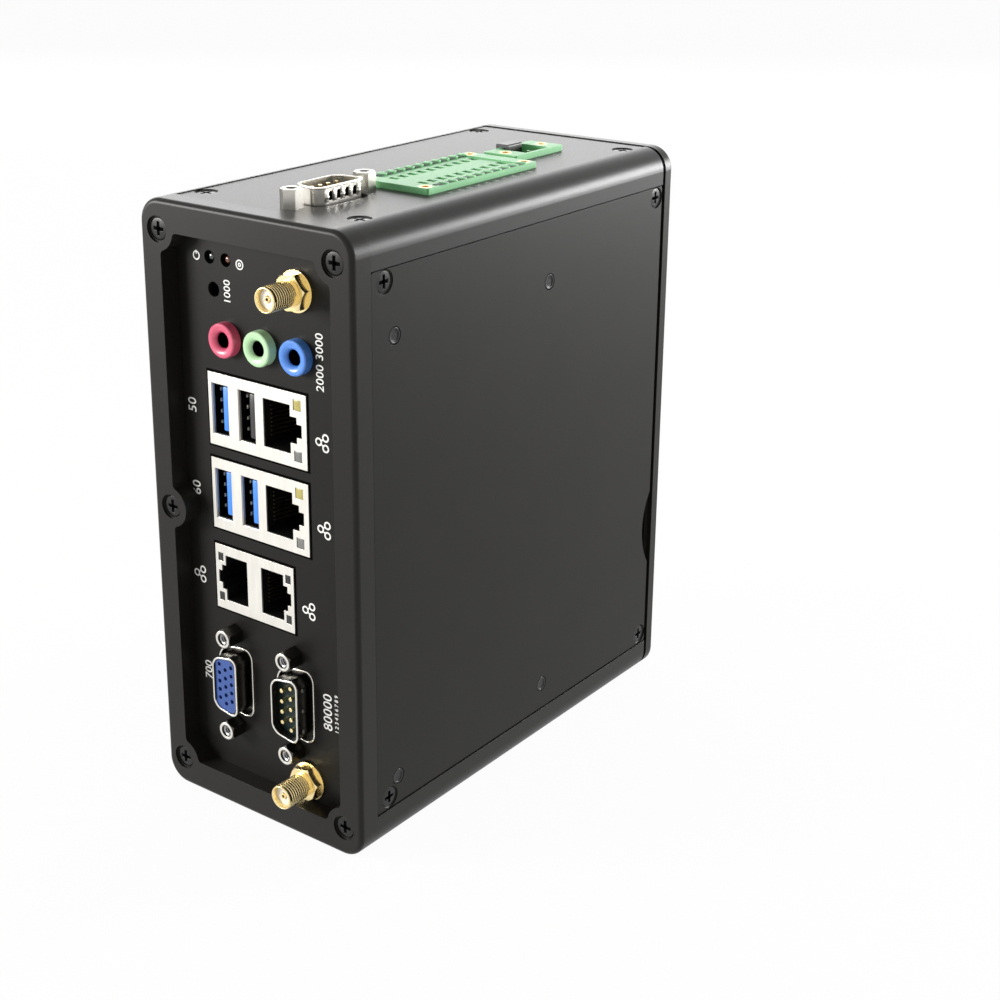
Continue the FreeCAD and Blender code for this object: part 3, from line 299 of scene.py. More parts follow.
print("finishes:", len(bpy.data.materials), "undressed:", sorted(set(nodes) - set(sum(by_node.values(), []))))

# %% [markdown]
# ## Modelling helpers
# Every added form starts from a primitive and is worked in edit mode. A form is modelled once,
# looking out along -Y from the origin, and its copies are turned to the side they belong to.


# %% small tools
def active(obj):
    bpy.ops.object.select_all(action="DESELECT")
    obj.select_set(True)
    bpy.context.view_layer.objects.active = obj
    return obj


def freeze(obj):
    """Moves place, turn and size into the mesh."""
    active(obj)
    bpy.ops.object.transform_apply(location=True, rotation=True, scale=True)
    return obj


def pick(obj, test):
    """Edit mode with just the vertices that pass the test selected."""
    active(obj)
    bpy.ops.object.mode_set(mode="EDIT")
    bpy.ops.mesh.select_mode(type="VERT")
    bpy.ops.mesh.select_all(action="DESELECT")
    bpy.ops.object.mode_set(mode="OBJECT")
    for v in obj.data.vertices:
        v.select = test(v.co)
    bpy.ops.object.mode_set(mode="EDIT")


def done(obj):
    """Clean normals and smooth shading with crisp corners."""
    active(obj)
    bpy.ops.object.mode_set(mode="EDIT")
    bpy.ops.mesh.select_all(action="SELECT")
    bpy.ops.mesh.remove_doubles(threshold=1e-6)
    bpy.ops.mesh.normals_make_consistent(inside=False)
    bpy.ops.object.mode_set(mode="OBJECT")
    bpy.ops.object.shade_smooth_by_angle(angle=math.radians(32))
    return obj


def modified(obj, kind, **settings):
    active(obj)
    step = obj.modifiers.new("step", kind)
    for key, value in settings.items():
        setattr(step, key, value)
    bpy.ops.object.modifier_apply(modifier=step.name)
    return obj


def block(low, high, round_by=0.0):
    """Cuboid between two corners in millimetres, with rounded edges if asked."""
    size = [b - a for a, b in zip(low, high)]
    bpy.ops.mesh.primitive_cube_add(size=1, location=[(a + b) / 2 * MM for a, b in zip(low, high)])
    obj = bpy.context.object
    obj.scale = [s * MM for s in size]
    freeze(obj)
    if round_by:
        bpy.ops.object.mode_set(mode="EDIT")
        bpy.ops.mesh.select_all(action="SELECT")
        bpy.ops.mesh.bevel(offset=round_by * MM, segments=2, affect="EDGES")
        bpy.ops.object.mode_set(mode="OBJECT")
    return obj


def turned(rings, verts=48, close=True):
    """Lathe about Y: a ring of edges is drawn out from station to station, (radius, y) in mm."""
    bpy.ops.mesh.primitive_circle_add(vertices=verts, radius=rings[0][0] * MM,
                                      location=(0, rings[0][1] * MM, 0), rotation=(math.pi / 2, 0, 0))
    obj = freeze(bpy.context.object)
    bpy.ops.object.mode_set(mode="EDIT")
    bpy.ops.mesh.select_all(action="SELECT")
    for (ra, ya), (rb, yb) in zip(rings, rings[1:]):
        bpy.ops.mesh.extrude_edges_move(TRANSFORM_OT_translate={"value": (0, (yb - ya) * MM, 0)})
        bpy.ops.transform.resize(value=(rb / ra, 1, rb / ra), center_override=(0, yb * MM, 0))
    if close:
        bpy.ops.mesh.edge_face_add()
    bpy.ops.object.mode_set(mode="OBJECT")
    return done(obj)


def coil(root, crest, pitch, turns, start, steps=40):
    """One helical thread: a trapezium section carried round Y by a screw step."""
    bpy.ops.mesh.primitive_plane_add(size=1, location=((root + crest) / 2 * MM, start * MM, 0))
    obj = bpy.context.object
    obj.scale = (abs(crest - root) * MM, pitch * 0.86 * MM, 1)
    freeze(obj)
    pick(obj, lambda co: abs(co.x - crest * MM) < 1e-5)
    bpy.ops.transform.resize(value=(1, 0.18, 1), center_override=(crest * MM, start * MM, 0))
    bpy.ops.mesh.select_all(action="SELECT")
    bpy.ops.mesh.delete(type="ONLY_FACE")
    bpy.ops.object.mode_set(mode="OBJECT")
    modified(obj, "SCREW", axis="Y", screw_offset=pitch * MM, iterations=turns, steps=steps,
             render_steps=steps)
    active(obj)
    bpy.ops.object.mode_set(mode="EDIT")
    bpy.ops.mesh.select_all(action="SELECT")
    bpy.ops.mesh.fill_holes(sides=4)
    bpy.ops.object.mode_set(mode="OBJECT")
    return done(obj)


def joined(parts, name):
    bpy.ops.object.select_all(action="DESELECT")
    for one in parts:
        one.select_set(True)
    bpy.context.view_layer.objects.active = parts[0]
    if len(parts) > 1:
        bpy.ops.object.join()
    piece = bpy.context.object
    piece.name = piece.data.name = name
    return freeze(piece)


def fitted(piece, mat, instead=(), body="housing"):
    """Gives a piece its finish and its body, and hides the nodes that it stands in for."""
    dress(piece, mat)
    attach(piece, body)
    if instead:
        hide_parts(*instead)
    print("  %-18s %6d faces" % (piece.name, len(piece.data.polygons)))
    return piece


TURNS = {"front": (0, "Z"), "right": (90, "Z"), "left": (-90, "Z"), "rear": (180, "Z"),
         "top": (-90, "X"), "bottom": (90, "X")}


def copies(master, name, spots):
    """Own-mesh copies of a form at (place, side) spots, joined into one piece."""
    made = []
    for place, side in spots:
        one = master.copy()
        one.data = master.data.copy()
        bpy.context.scene.collection.objects.link(one)
        angle, axis = TURNS[side]
        one.matrix_world = Matrix.Translation(place) @ Matrix.Rotation(math.radians(angle), 4, axis)
        made.append(one)
    bpy.data.objects.remove(master)
    return joined(made, name)


def outward(low, high):
    """Place of a screw's head and the side that it looks to, from the screw's box."""
    size, mid = high - low, (low + high) / 2
    axis = max(range(3), key=lambda k: abs(size[k] - (size[k - 1] + size[k - 2]) / 2))
    positive = mid[axis] > (0, 0, top_z / 2)[axis]
    place = mid.copy()
    place[axis] = high[axis] if positive else low[axis]
    return place, (("left", "right"), ("front", "rear"), ("bottom", "top"))[axis][positive]


# %% [markdown]
# ## Screws
# All black screws are cross-recess heads. The bezel ones sit deep in counterbores, the sheet
# ones a little below the sheet, so that the rim of each countersink shows as a dark ring.


# %% screw heads
def cross_head(radius, half_cross, blade):
    head = turned([(1.4, 2.6), (1.4, 1.5), (radius - 0.16, 0.42), (radius - 0.12, 0.2), (radius - 0.28, 0.03),
                   (radius - 0.7, -0.03), (0.6, -0.08)])
    for turn in (0, 90):
        cutter = block((-half_cross, -0.5, -blade / 2), (half_cross, 1.35, blade / 2))
        pick(cutter, lambda co: co.y > 1 * MM)
        bpy.ops.transform.resize(value=(0.3, 1, 0.6), center_override=(0, 1.35 * MM, 0))
        bpy.ops.object.mode_set(mode="OBJECT")
        cutter.rotation_euler = (0, math.radians(turn), 0)
        freeze(cutter)
        modified(head, "BOOLEAN", operation="DIFFERENCE", solver="EXACT", object=cutter)
        bpy.data.objects.remove(cutter)
    return done(head)


def cross_shade(half_cross, blade, deep):
    """Dark block in the bottom of a cross recess: painted shade."""
    arms = [block((-half_cross, deep, -blade / 2), (half_cross, 1.3, blade / 2)),
            block((-blade / 2, deep, -half_cross), (blade / 2, 1.3, half_cross))]
    return done(joined(arms, "cross_shade"))


def sunk(spot, depth):
    """The same spot, a little further in."""
    (place, side), step = spot, depth * MM
    inward = {"front": (0, 1, 0), "rear": (0, -1, 0), "right": (-1, 0, 0), "left": (1, 0, 0),
              "top": (0, 0, -1), "bottom": (0, 0, 1)}[side]
    return place + Vector(inward) * step, side


bezel_spots = [outward(*b) for b in islands("long_screws")]
sheet_spots = [outward(*b) for b in islands("sheet_screws")]
clip_spots = [outward(*b) for b in islands("bracket_screws")]
bezel_heads = [sunk(spot, 0.0 if spot[1] == "front" else 0.25) for spot in bezel_spots]
sheet_heads = [sunk(spot, 0.32) for spot in sheet_spots]
fitted(copies(cross_head(2.8, 2.05, 1.0), "bezel_screw_heads", bezel_heads),
       screw_black, ["long_screws"])
fitted(copies(cross_head(2.7, 1.95, 0.95), "sheet_screw_heads", sheet_heads),
       screw_black, ["sheet_screws"])
# near-black blocks in the cross recesses: painted shade
fitted(copies(cross_shade(1.92, 0.92, 0.14), "screw_recess_shades", bezel_heads + sheet_heads),
       shade_black)
fitted(copies(cross_head(2.8, 1.75, 0.85), "clip_screw_heads", [sunk(s, 0.1) for s in clip_spots]),
       steel, ["bracket_screws"])

# %% [markdown]
# ## Pressed studs
# Board pillars are pressed into the side sheets. From outside each is a small disc with a
# fine groove round it and a shallow dish in the middle.

# %% studs
for side in ("right", "left"):
    node = "side_studs_" + side
    disc = turned([(1.93, 1.4), (1.93, 0.12), (1.84, 0.02), (1.6, -0.02), (1.42, 0.04), (1.3, 0.2),
                   (1.05, 0.26), (0.35, 0.2)])
    spots = []
    for low, high in islands(node):
        mid = (low + high) / 2
        mid.x = high.x if side == "right" else low.x
        spots.append((mid, side))
    fitted(copies(disc, "stud_faces_" + side, spots), screw_black, [node])

# %% [markdown]
# ## Antenna sockets
# A gold barrel with a quarter-inch thread, a cream insulator in its bore and a tubular
# contact in the middle. The thread is a real helix, 36 turns to the inch.

# %% barrels, threads, insulators
antennas = [((low + high) / 2, low.y) for low, high in islands("antenna_sockets")]
tips = [(Vector((mid.x, tip, mid.z)), "front") for mid, tip in antennas]
barrel = turned([(2.4, 2.4), (2.4, 0.5), (2.52, 0.12), (2.66, 0.0), (2.84, 0.02), (2.98, 0.2),
                 (2.98, 8.0), (2.88, 8.0), (2.88, 15.0), (1.2, 15.0), (1.2, 2.4), (2.4, 2.4)],
                close=False)
thread = coil(3.02, 3.08, 0.706, 9, 0.65)
fitted(copies(joined([barrel, thread], "barrel"), "antenna_barrels", tips),
       gold, ["antenna_sockets"])
insulator = turned([(2.38, 2.6), (2.38, 1.35), (2.3, 1.25), (0.9, 1.25), (0.82, 1.5), (0.82, 2.6),
                    (2.38, 2.6)], close=False)
fitted(copies(insulator, "antenna_insulators", tips), ptfe)
contact = turned([(0.36, 2.2), (0.36, 0.95), (0.46, 0.85), (0.6, 0.85), (0.68, 1.0), (0.68, 2.4),
                  (0.36, 2.4)], verts=24, close=False)
fitted(copies(contact, "antenna_contacts", tips), gold)

# %% [markdown]
# ## Connector screws and shell lips
# The hexagonal jackscrews are threaded inside. The drawn shells of the video and serial
# connectors have a rolled front edge, which is what catches the light.

# %% inner threads
jack_spots = [outward(*b) for b in islands("jackscrews")]
fitted(copies(coil(1.36, 1.02, 0.64, 6, 0.5, steps=24), "jackscrew_threads", jack_spots),
       steel)


# %% rolled lips
def d_outline(long, short, radius, segments):
    """D-shaped face, left in edit mode and selected; its wide side looks to +X."""
    lean = short * math.tan(math.radians(10))
    bpy.ops.mesh.primitive_plane_add(size=1, rotation=(math.pi / 2, 0, 0))
    obj = bpy.context.object
    obj.scale = (short * MM, long * MM, 1)
    freeze(obj)
    pick(obj, lambda co: co.x < 0)
    bpy.ops.transform.resize(value=(1, 1, (long - 2 * lean) / long), center_override=(0, 0, 0))
    bpy.ops.mesh.select_all(action="SELECT")
    bpy.ops.mesh.bevel(offset=radius * MM, segments=segments, affect="VERTICES", offset_type="OFFSET")
    bpy.ops.mesh.select_all(action="SELECT")
    return obj


def d_lip(long, short, radius=2.5, wall=0.5, deep=0.5):
    """Ring along the edge of a D-shaped shell."""
    obj = d_outline(long, short, radius, 7)
    bpy.ops.mesh.inset(thickness=wall * MM)
    bpy.ops.mesh.delete(type="ONLY_FACE")
    bpy.ops.object.mode_set(mode="OBJECT")
    modified(obj, "SOLIDIFY", thickness=deep * MM, offset=0)
    active(obj)
    bpy.ops.object.mode_set(mode="EDIT")
    bpy.ops.mesh.select_all(action="SELECT")
    bpy.ops.mesh.remove_doubles(threshold=1e-6)
    bpy.ops.object.mode_set(mode="OBJECT")
    modified(obj, "BEVEL", width=0.16 * MM, segments=3, angle_limit=math.radians(60))
    return done(obj)


video_d, serial_d = (16.5, 8.1), (17.2, 8.6)
lip_inset, rim_growth = 0.2, 3.4
serial = islands("serial_shells")
video_spots = [front_spot(*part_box("video_shell"), lip_inset)]
fitted(copies(d_lip(*video_d), "video_lip", video_spots), nickel)
lip_spots = []
for low, high in serial:
    place, side = (low + high) / 2, "front"
    if high.z > top_z:
        place.z, side = high.z - lip_inset * MM, "top"
    else:
        place.y = low.y + lip_inset * MM
    lip_spots.append((place, side))
fitted(copies(d_lip(*serial_d), "serial_lips", lip_spots), nickel)

# %% bright rims where the D sockets pass the panel, and the flat ends of the jackscrews
for name, (long, short), spots in (("video_rim", video_d, video_spots),
                                   ("serial_rim", serial_d, lip_spots)):
    flat = [(Vector((place.x, panel_y - 0.1 * MM, place.z)), side)
            for place, side in spots if side == "front"]
    fitted(copies(d_lip(long + rim_growth, short + rim_growth, 3.6), name, flat), nickel)
end = turned([(2.2, 0.3), (2.2, 0.0), (2.08, -0.07), (1.62, -0.07), (1.5, 0.05), (1.5, 0.4)], close=False)
front_jacks = [spot for spot in jack_spots if spot[1] == "front"]
fitted(copies(end, "jackscrew_ends", front_jacks), nickel)


# %% dark face in each serial shell
def d_plate(long, short, deep, radius=2.0):
    """Solid D-shaped plate behind the origin plane."""
    obj = d_outline(long, short, radius, 6)
    bpy.ops.mesh.extrude_region_move(TRANSFORM_OT_translate={"value": (0, deep * MM, 0)})
    bpy.ops.object.mode_set(mode="OBJECT")
    return done(obj)


face_spots = [sunk(spot, 1.9) for spot in lip_spots]
fitted(copies(d_plate(15.9, 7.3, 1.5), "serial_faces", face_spots), serial_dark)

# %% ribs pressed out of the upper serial shell, with painted shade between them
upper_low, upper_high = [b for b in serial if b[1].z > top_z][0]
rib_x = (upper_low.x + upper_high.x) / 2 / MM + 4.2
rib_y = (upper_low.y + upper_high.y) / 2 / MM
rib_foot, rib_top, rib_pitch = top_z / MM, upper_high.z / MM, 2.75
ribs, slot_shades = [], []
for i in range(5):
    y = rib_y + (i - 2) * rib_pitch
    ribs.append(block((rib_x - 0.3, y - 0.6, rib_foot + 0.6),
                      (rib_x + 0.28, y + 0.6, rib_top - 0.7), 0.2))
    if i < 4:
        slot_shades.append(block((rib_x - 0.3, y + 0.75, rib_foot + 0.9),
                           (rib_x + 0.08, y + 2.0, rib_top - 1.1), 0.1))
fitted(done(joined(ribs, "serial_ribs")), nickel)
# black bars between the ribs: painted shade in the dents of the shell
fitted(done(joined(slot_shades, "serial_slot_shades")), shade_black)

# %% [markdown]
# ## Gaps round the port blocks
# Each folded port block stands in a cut-out a little larger than itself. From outside the
# clearance is a thin dark line round the tin; that shade is painted as a thin black frame on the
# face of the panel.

# %% dark lines of painted shade
lines, gap, face = [], 0.6, panel_y / MM
for box in islands("port_stack_shells") + islands("twin_port_shell"):
    a, b = in_mm(box)
    rim = block((a[0] - gap, face - 0.03, a[2] - gap), (b[0] + gap, face + 0.3, b[2] + gap))
    core = block((a[0] + 0.02, face - 1, a[2] + 0.02), (b[0] - 0.02, face + 1, b[2] - 0.02))
    modified(rim, "BOOLEAN", operation="DIFFERENCE", solver="EXACT", object=core)
    bpy.data.objects.remove(core)
    lines.append(rim)
fitted(done(joined(lines, "port_gap_shades")), shade_black)

# %% [markdown]
# ## Audio sockets
# Each moulded sleeve is dished towards its plug hole, and the hole is lined in black as painted shade.

# %% sleeves and painted bore shade
for colour, mat in (("pink", pink), ("green", mint), ("blue", sky)):
    node = "audio_jack_" + colour
    spot = [front_spot(*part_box(node))]
    sleeve = turned([(4.2, 5.0), (4.2, 0.6), (4.12, 0.25), (3.85, 0.04), (3.4, 0.0), (2.75, 0.12),
                     (2.2, 0.45), (1.9, 0.95), (1.86, 2.0), (1.86, 5.0), (4.2, 5.0)],
                    verts=64, close=False)
    fitted(copies(sleeve, "sleeve_" + colour, spot), mat, [node])
    bore_shade = turned([(1.87, 1.15), (1.8, 1.0), (1.8, 14.0)])
    fitted(copies(bore_shade, "bore_shade_" + colour, spot), shade_black)

# %% [markdown]
# ## Lamps and the reset hole
# The two status lamps are small domes at the bottom of black holes, one for power with a
# greenish lens and one for the drive with a reddish one; the black of the holes is painted shade
# on a collar. The windows in the stacked network sockets are yellow above and grey below, and
# those in the double socket are dark. The reset button is a dished black cap, darkened further
# by painted shade.

# %% status lamps
pipes = islands("light_pipes")
for pipe, name, mat in zip(pipes, ("lamp_power", "lamp_drive"), (lamp_green, lamp_red)):
    spot = [front_spot(*pipe)]
    hole_shade = turned([(1.58, 2.4), (1.58, 0.3), (1.52, 0.2), (1.44, 0.25), (1.0, 1.3), (1.0, 2.4),
                     (1.58, 2.4)], close=False)
    fitted(copies(hole_shade, name + "_hole_shade", spot), shade_black, ["light_pipes"])
    dome = turned([(0.98, 2.6), (0.98, 1.35), (0.9, 1.05), (0.7, 0.82), (0.42, 0.68), (0.12, 0.64)])
    fitted(copies(dome, name, spot), mat, ["light_pipes"])

# %% lamps in the network sockets
lens = {"yellow": [], "grey": [], "dark": []}
middles = sorted(((low + high) / 2).z for low, high in islands("port_stack_bodies"))
for low, high in islands("port_lamps"):
    one = block(*in_mm((low, high)), 0.22)
    stack = high.x > 10 * MM
    above = any(0 < (low.z - m) < 8 * MM for m in middles)
    lens["dark" if not stack else "yellow" if above else "grey"].append(one)
for shade, mat in (("yellow", lamp_yellow), ("grey", lamp_grey), ("dark", lamp_dark)):
    fitted(done(joined(lens[shade], "port_lens_" + shade)), mat, ["port_lamps"])

# %% reset cap
low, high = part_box("reset_button")
cap_r = (high.x - low.x) / 2 / MM
cap = turned([(cap_r, 6.0), (cap_r, 0.5), (cap_r - 0.1, 0.4), (cap_r - 0.2, 0.5),
              (cap_r * 0.6, 1.6), (0.2, 1.9)])
# black plastic cap, darkened further with the shade black: painted shade at the bottom of its hole
fitted(copies(cap, "reset_cap", [front_spot(low, high)]),
       shade_black, ["reset_button"], "reset_key")

# %% [markdown]
# ## Latch spring
# The spring stands between the latch and the top of its window. Its lower end goes down with
# the latch and its upper end stays; here it is drawn as one fixed coil.

# %% the spring coil
low, high = in_mm(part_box("latch_spring"))
wire_r, spring_turns = 0.25, 7
spring_r = (high[0] - low[0]) / 2 - wire_r
bpy.ops.mesh.primitive_circle_add(vertices=10, radius=wire_r * MM, fill_type="NOTHING",
                                  rotation=(math.pi / 2, 0, 0), location=(spring_r * MM, 0, 0))
spring = bpy.context.object
freeze(spring)
pitch = (high[2] - low[2] - 2 * wire_r) / spring_turns * MM
modified(spring, "SCREW", axis="Z", screw_offset=pitch, iterations=spring_turns, steps=24, render_steps=24)
active(spring)
bpy.ops.object.mode_set(mode="EDIT")
bpy.ops.mesh.select_all(action="DESELECT")
bpy.ops.mesh.select_mode(type="EDGE")
bpy.ops.mesh.select_non_manifold()
bpy.ops.mesh.fill_holes(sides=0)
bpy.ops.mesh.select_all(action="SELECT")
bpy.ops.mesh.normals_make_consistent(inside=False)
bpy.ops.transform.translate(value=((low[0] + high[0]) / 2 * MM, (low[1] + high[1]) / 2 * MM,
                                   (low[2] + wire_r) * MM))
bpy.ops.object.mode_set(mode="OBJECT")
spring.name = "latch_coil"
dress(done(spring), steel)
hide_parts("latch_spring")
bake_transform(spring)
print("latch spring", round(spring_r, 2), "mm radius")

# %% [markdown]
# ## Inside the data sockets
# Each data socket has a moulded tongue with flat contacts, a folded metal mouth, a dark sheet
# along the inner wall as painted shade and four small spring tips. Three tongues are blue and one
# is black, as the sockets differ in speed.
# The network sockets hold eight sprung wires on the wall opposite the latch, in gold darkened
# as painted shade.


# %% tongues and mouths
def open_ended(obj):
    """Takes away the faces that look along Y."""
    active(obj)
    bpy.ops.object.mode_set(mode="EDIT")
    bpy.ops.mesh.select_mode(type="FACE")
    bpy.ops.mesh.select_all(action="DESELECT")
    bpy.ops.object.mode_set(mode="OBJECT")
    for face in obj.data.polygons:
        face.select = abs(face.normal.y) > 0.9
    bpy.ops.object.mode_set(mode="EDIT")
    bpy.ops.mesh.delete(type="FACE")
    bpy.ops.object.mode_set(mode="OBJECT")
    return obj


shell_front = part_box("port_stack_shells")[0].y / MM
tongue_shift, window_w, window_h = 1.4, 5.4, 12.8
mouths, wall_shades, springs, bars = [], [], [], []
for node, name, mat, slot in (("usb_tongues_blue", "tongues_blue", tongue_blue, "tongue_blue"),
                              ("usb_tongue_black", "tongue_black", tongue_black, "tongue_black")):
    tongues = []
    for box in islands(node):
        a, b = in_mm(box)
        left, mid = a[0] - 1.1, (a[2] + b[2]) / 2
        tongues.append(block((a[0] + tongue_shift, a[1], a[2]), (b[0] + tongue_shift, b[1], b[2]), 0.3))
        mouth = block((left + 0.02, shell_front + 0.25, mid - window_h / 2 + 0.02),
                      (left + window_w - 0.02, shell_front + 0.9, mid + window_h / 2 - 0.02))
        mouths.append(modified(open_ended(mouth), "SOLIDIFY", thickness=0.2 * MM, offset=-1))
        wall_shades.append(block((left + 0.03, shell_front + 0.95, mid - window_h / 2 + 0.03),
                            (left + 0.14, shell_front + 11.0, mid + window_h / 2 - 0.03), 0.03))
        for step in (-4.1, -1.4, 1.4, 4.1):
            finger = block((left + 0.08, shell_front + 2.6, mid + step - 0.45),
                           (left + 0.55, shell_front + 3.5, mid + step + 0.45), 0.16)
            springs.append(finger)
        for i in range(4):
            z = mid + (i - 1.5) * 2.4
            bars.append(block((a[0] + tongue_shift - 0.06, a[1] + 0.8, z - 0.4),
                              (a[0] + tongue_shift + 0.1, a[1] + 7.5, z + 0.4), 0.05))
    fitted(done(joined(tongues, name)), mat, [node])
fitted(done(joined(mouths, "usb_mouths")), tin)
# near-black sheets along the inner walls: painted shade
fitted(done(joined(wall_shades, "usb_wall_shades")), shade_black)
fitted(done(joined(springs, "usb_springs")), tin)
fitted(done(joined(bars, "usb_contacts")), gold)

# %% contact wires
wires = []
for opening in frame["record"]["physics"]["openings"]:
    if not opening["name"].startswith("network_socket"):
        continue
    (x0, _, z0), (x1, _, z1) = in_mm(opening["box_m"])
    way, wall = (-1, x1) if opening["name"].endswith("twin_left") else (1, x0)
    mid = (z0 + z1) / 2
    for i in range(8):
        z = mid + (i - 3.5) * 1.02
        wire = block((wall, shell_front + 2.2, z - 0.2), (wall + 0.3 * way, shell_front + 4.0, z + 0.2))
        pick(wire, lambda co: co.y > (shell_front + 3.5) * MM)
        bpy.ops.mesh.extrude_region_move(TRANSFORM_OT_translate={"value": (1.4 * way * MM, 4.0 * MM, 0)})
        bpy.ops.mesh.extrude_region_move(TRANSFORM_OT_translate={"value": (1.9 * way * MM, 3.6 * MM, 0)})
        bpy.ops.object.mode_set(mode="OBJECT")
        wires.append(wire)
fitted(done(joined(wires, "network_wires")), shaded_gold)

# %% [markdown]
# ## Face of the big header
# Between its two keyed walls the header is filled by a moulded face with a pocket for each of
# the twenty pins. One cell with two pockets is cut, then repeated along the row. A comb of
# teeth runs along both walls, and the slots between the teeth are dark green blocks: painted
# shade.

# %% header face
pin_pitch, columns = 3.5, 10
head_low, head_high = in_mm(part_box("terminal_header"))
pins = [((low + high) / 2) / MM for low, high in islands("header_pins") if high.y < head_high[1] * MM]
rows = sorted({round(p.x, 2) for p in pins})
first = min(p.y for p in pins)
half_cell = pin_pitch / 2 + 0.01
cell = block((head_low[0] + 2.6, first - half_cell, head_high[2] - 4.1),
             (head_high[0] - 2.6, first + half_cell, head_high[2] - 0.3))
for x in rows:
    pocket = block((x - 1.4, first - 0.95, head_high[2] - 4.0), (x + 1.4, first + 0.95, head_high[2] + 1))
    modified(cell, "BOOLEAN", operation="DIFFERENCE", solver="EXACT", object=pocket)
    bpy.data.objects.remove(pocket)
modified(cell, "ARRAY", count=columns, use_relative_offset=False, use_constant_offset=True,
         constant_offset_displace=(0, pin_pitch * MM, 0))
fitted(joined([cell], "header_face"), header_green)

# %% comb along both keyed walls
teeth, slot_shades = [], []
for a, b in ((head_low[0] + 0.3, head_low[0] + 2.55), (head_high[0] - 2.55, head_high[0] - 0.3)):
    for i in range(columns):
        y = first + i * pin_pitch
        slot_shades.append(block((a, y - 1.15, head_high[2] - 0.4), (b, y + 1.15, head_high[2] + 0.03), 0.02))
        teeth.append(block((a, y + 1.2, head_high[2] - 0.4), (b, y + 2.3, head_high[2] + 0.3), 0.1))
# dark green blocks in the slots: painted shade
fitted(done(joined(slot_shades, "header_slot_shades")), header_slot_shade)
fitted(done(joined(teeth, "header_teeth")), header_green)

# %% [markdown]
# ## Printed marks
# White print on the panel and the top sheet: pictograms for power, drive and network, and
# plain numbers where sockets are told apart. Each mark is a film of about three hundredths of
# a millimetre.


# %% numbers and pictograms
def number(text, a, b, size, side="front"):
    """Digits from the built-in font, centred at (a, b) of the front or the top, a quarter turned."""
    bpy.ops.object.text_add()
    obj = bpy.context.object
    obj.data.body = text
    obj.data.size = size * MM
    obj.data.align_x = "CENTER"
    obj.data.align_y = "CENTER"
    obj.data.extrude = 0.015 * MM
    obj.data.offset = 0.02 * MM
    obj.data.resolution_u = 3
    bpy.ops.object.convert(target="MESH")
    obj = bpy.context.object
    spin = Matrix.Rotation(math.radians(90), 4, "Z")
    if side == "front":
        obj.matrix_world = (Matrix.Translation((a * MM, panel_y - 0.015 * MM, b * MM))
                            @ Matrix.Rotation(math.pi / 2, 4, "X") @ spin)
    else:
        obj.matrix_world = Matrix.Translation((a * MM, b * MM, top_z + 0.015 * MM)) @ spin
    return freeze(obj)


def ring(a, b, radius, line=0.17):
    bpy.ops.mesh.primitive_torus_add(major_radius=radius * MM, minor_radius=line * MM, major_segments=28,
                                     minor_segments=6, rotation=(math.pi / 2, 0, 0))
    obj = freeze(bpy.context.object)
    obj.scale = (1, 0.09, 1)
    obj.location = (a * MM, panel_y - 0.01 * MM, b * MM)
    return freeze(obj)


def bar(a, b, wide, high, turn=0):
    obj = block((-wide / 2, -0.02, -high / 2), (wide / 2, 0.01, high / 2))
    obj.matrix_world = (Matrix.Translation((a * MM, panel_y - 0.005 * MM, b * MM))
                        @ Matrix.Rotation(math.radians(turn), 4, "Y"))
    return freeze(obj)


def linked(a, b):
    """Three linked stations: the usual network pictogram."""
    return [ring(a - 1.15, b, 0.8, 0.22), ring(a + 0.95, b + 1.25, 0.8, 0.22),
            ring(a + 0.95, b - 1.25, 0.8, 0.22),
            bar(a - 0.1, b + 0.6, 0.6, 0.4, -30), bar(a - 0.1, b - 0.6, 0.6, 0.4, 30)]


half_w = 32.5
lamp_z = (pipes[0][0].z + pipes[0][1].z) / 2 / MM
lamp_left, lamp_right = pipes[0][0].x / MM, pipes[1][1].x / MM
marks = [ring(lamp_left - 2.6, lamp_z - 0.2, 0.95), bar(lamp_left - 2.6, lamp_z + 0.6, 0.3, 1.0),
         ring(lamp_right + 2.8, lamp_z - 0.4, 1.05), ring(lamp_right + 2.8, lamp_z - 0.4, 0.35)]
for a, b in ((51.1, 101.2), (51.1, 80.0), (9.7, 57.9), (45.7, 58.1)):
    marks += linked(a - half_w, b)
for text, a, b, size in (("1000", 22.9, 131.6, 2.9), ("2000 3000", 50.9, 120.0, 3.2),
                         ("50", 9.8, 101.8, 3.8), ("60", 10.0, 80.7, 3.8), ("700", 11.2, 32.0, 3.4),
                         ("80000", 51.0, 33.2, 3.9), ("1 2 3 4 5 6 7 8 9", 53.7, 33.5, 1.5)):
    marks.append(number(text, a - half_w, b, size))
fitted(joined(marks, "marks_front"), print_white)

# %% marks on the top sheet
top_marks = [number("9", upper_high.x / MM + 3.0, rib_y, 2.0, "top")]
for i in range(columns):
    y = first + i * pin_pitch
    top_marks.append(number(str(i + 1), head_low[0] - 2.0, y, 1.7, "top"))
    top_marks.append(number(str(i + 11), head_high[0] + 2.2, y, 1.7, "top"))
feed_low, feed_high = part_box("feed_header")
for i, share in enumerate((0.32, 0.68)):
    y = (feed_low.y * (1 - share) + feed_high.y * share) / MM
    top_marks.append(number(str(i + 1), feed_high.x / MM + 2.4, y, 2.0, "top"))
fitted(joined(top_marks, "marks_top"), print_white)

# %% [markdown]
# ## Camera, floor and light
# The camera looks down at the right front corner through a lens a little longer than normal.
# The floor is pale and mostly lights itself where it is seen. The light comes from a small
# softbox low at the front left, one low at the right rear, a broad one behind that the top
# sheet mirrors at a flat angle, and a white surround.

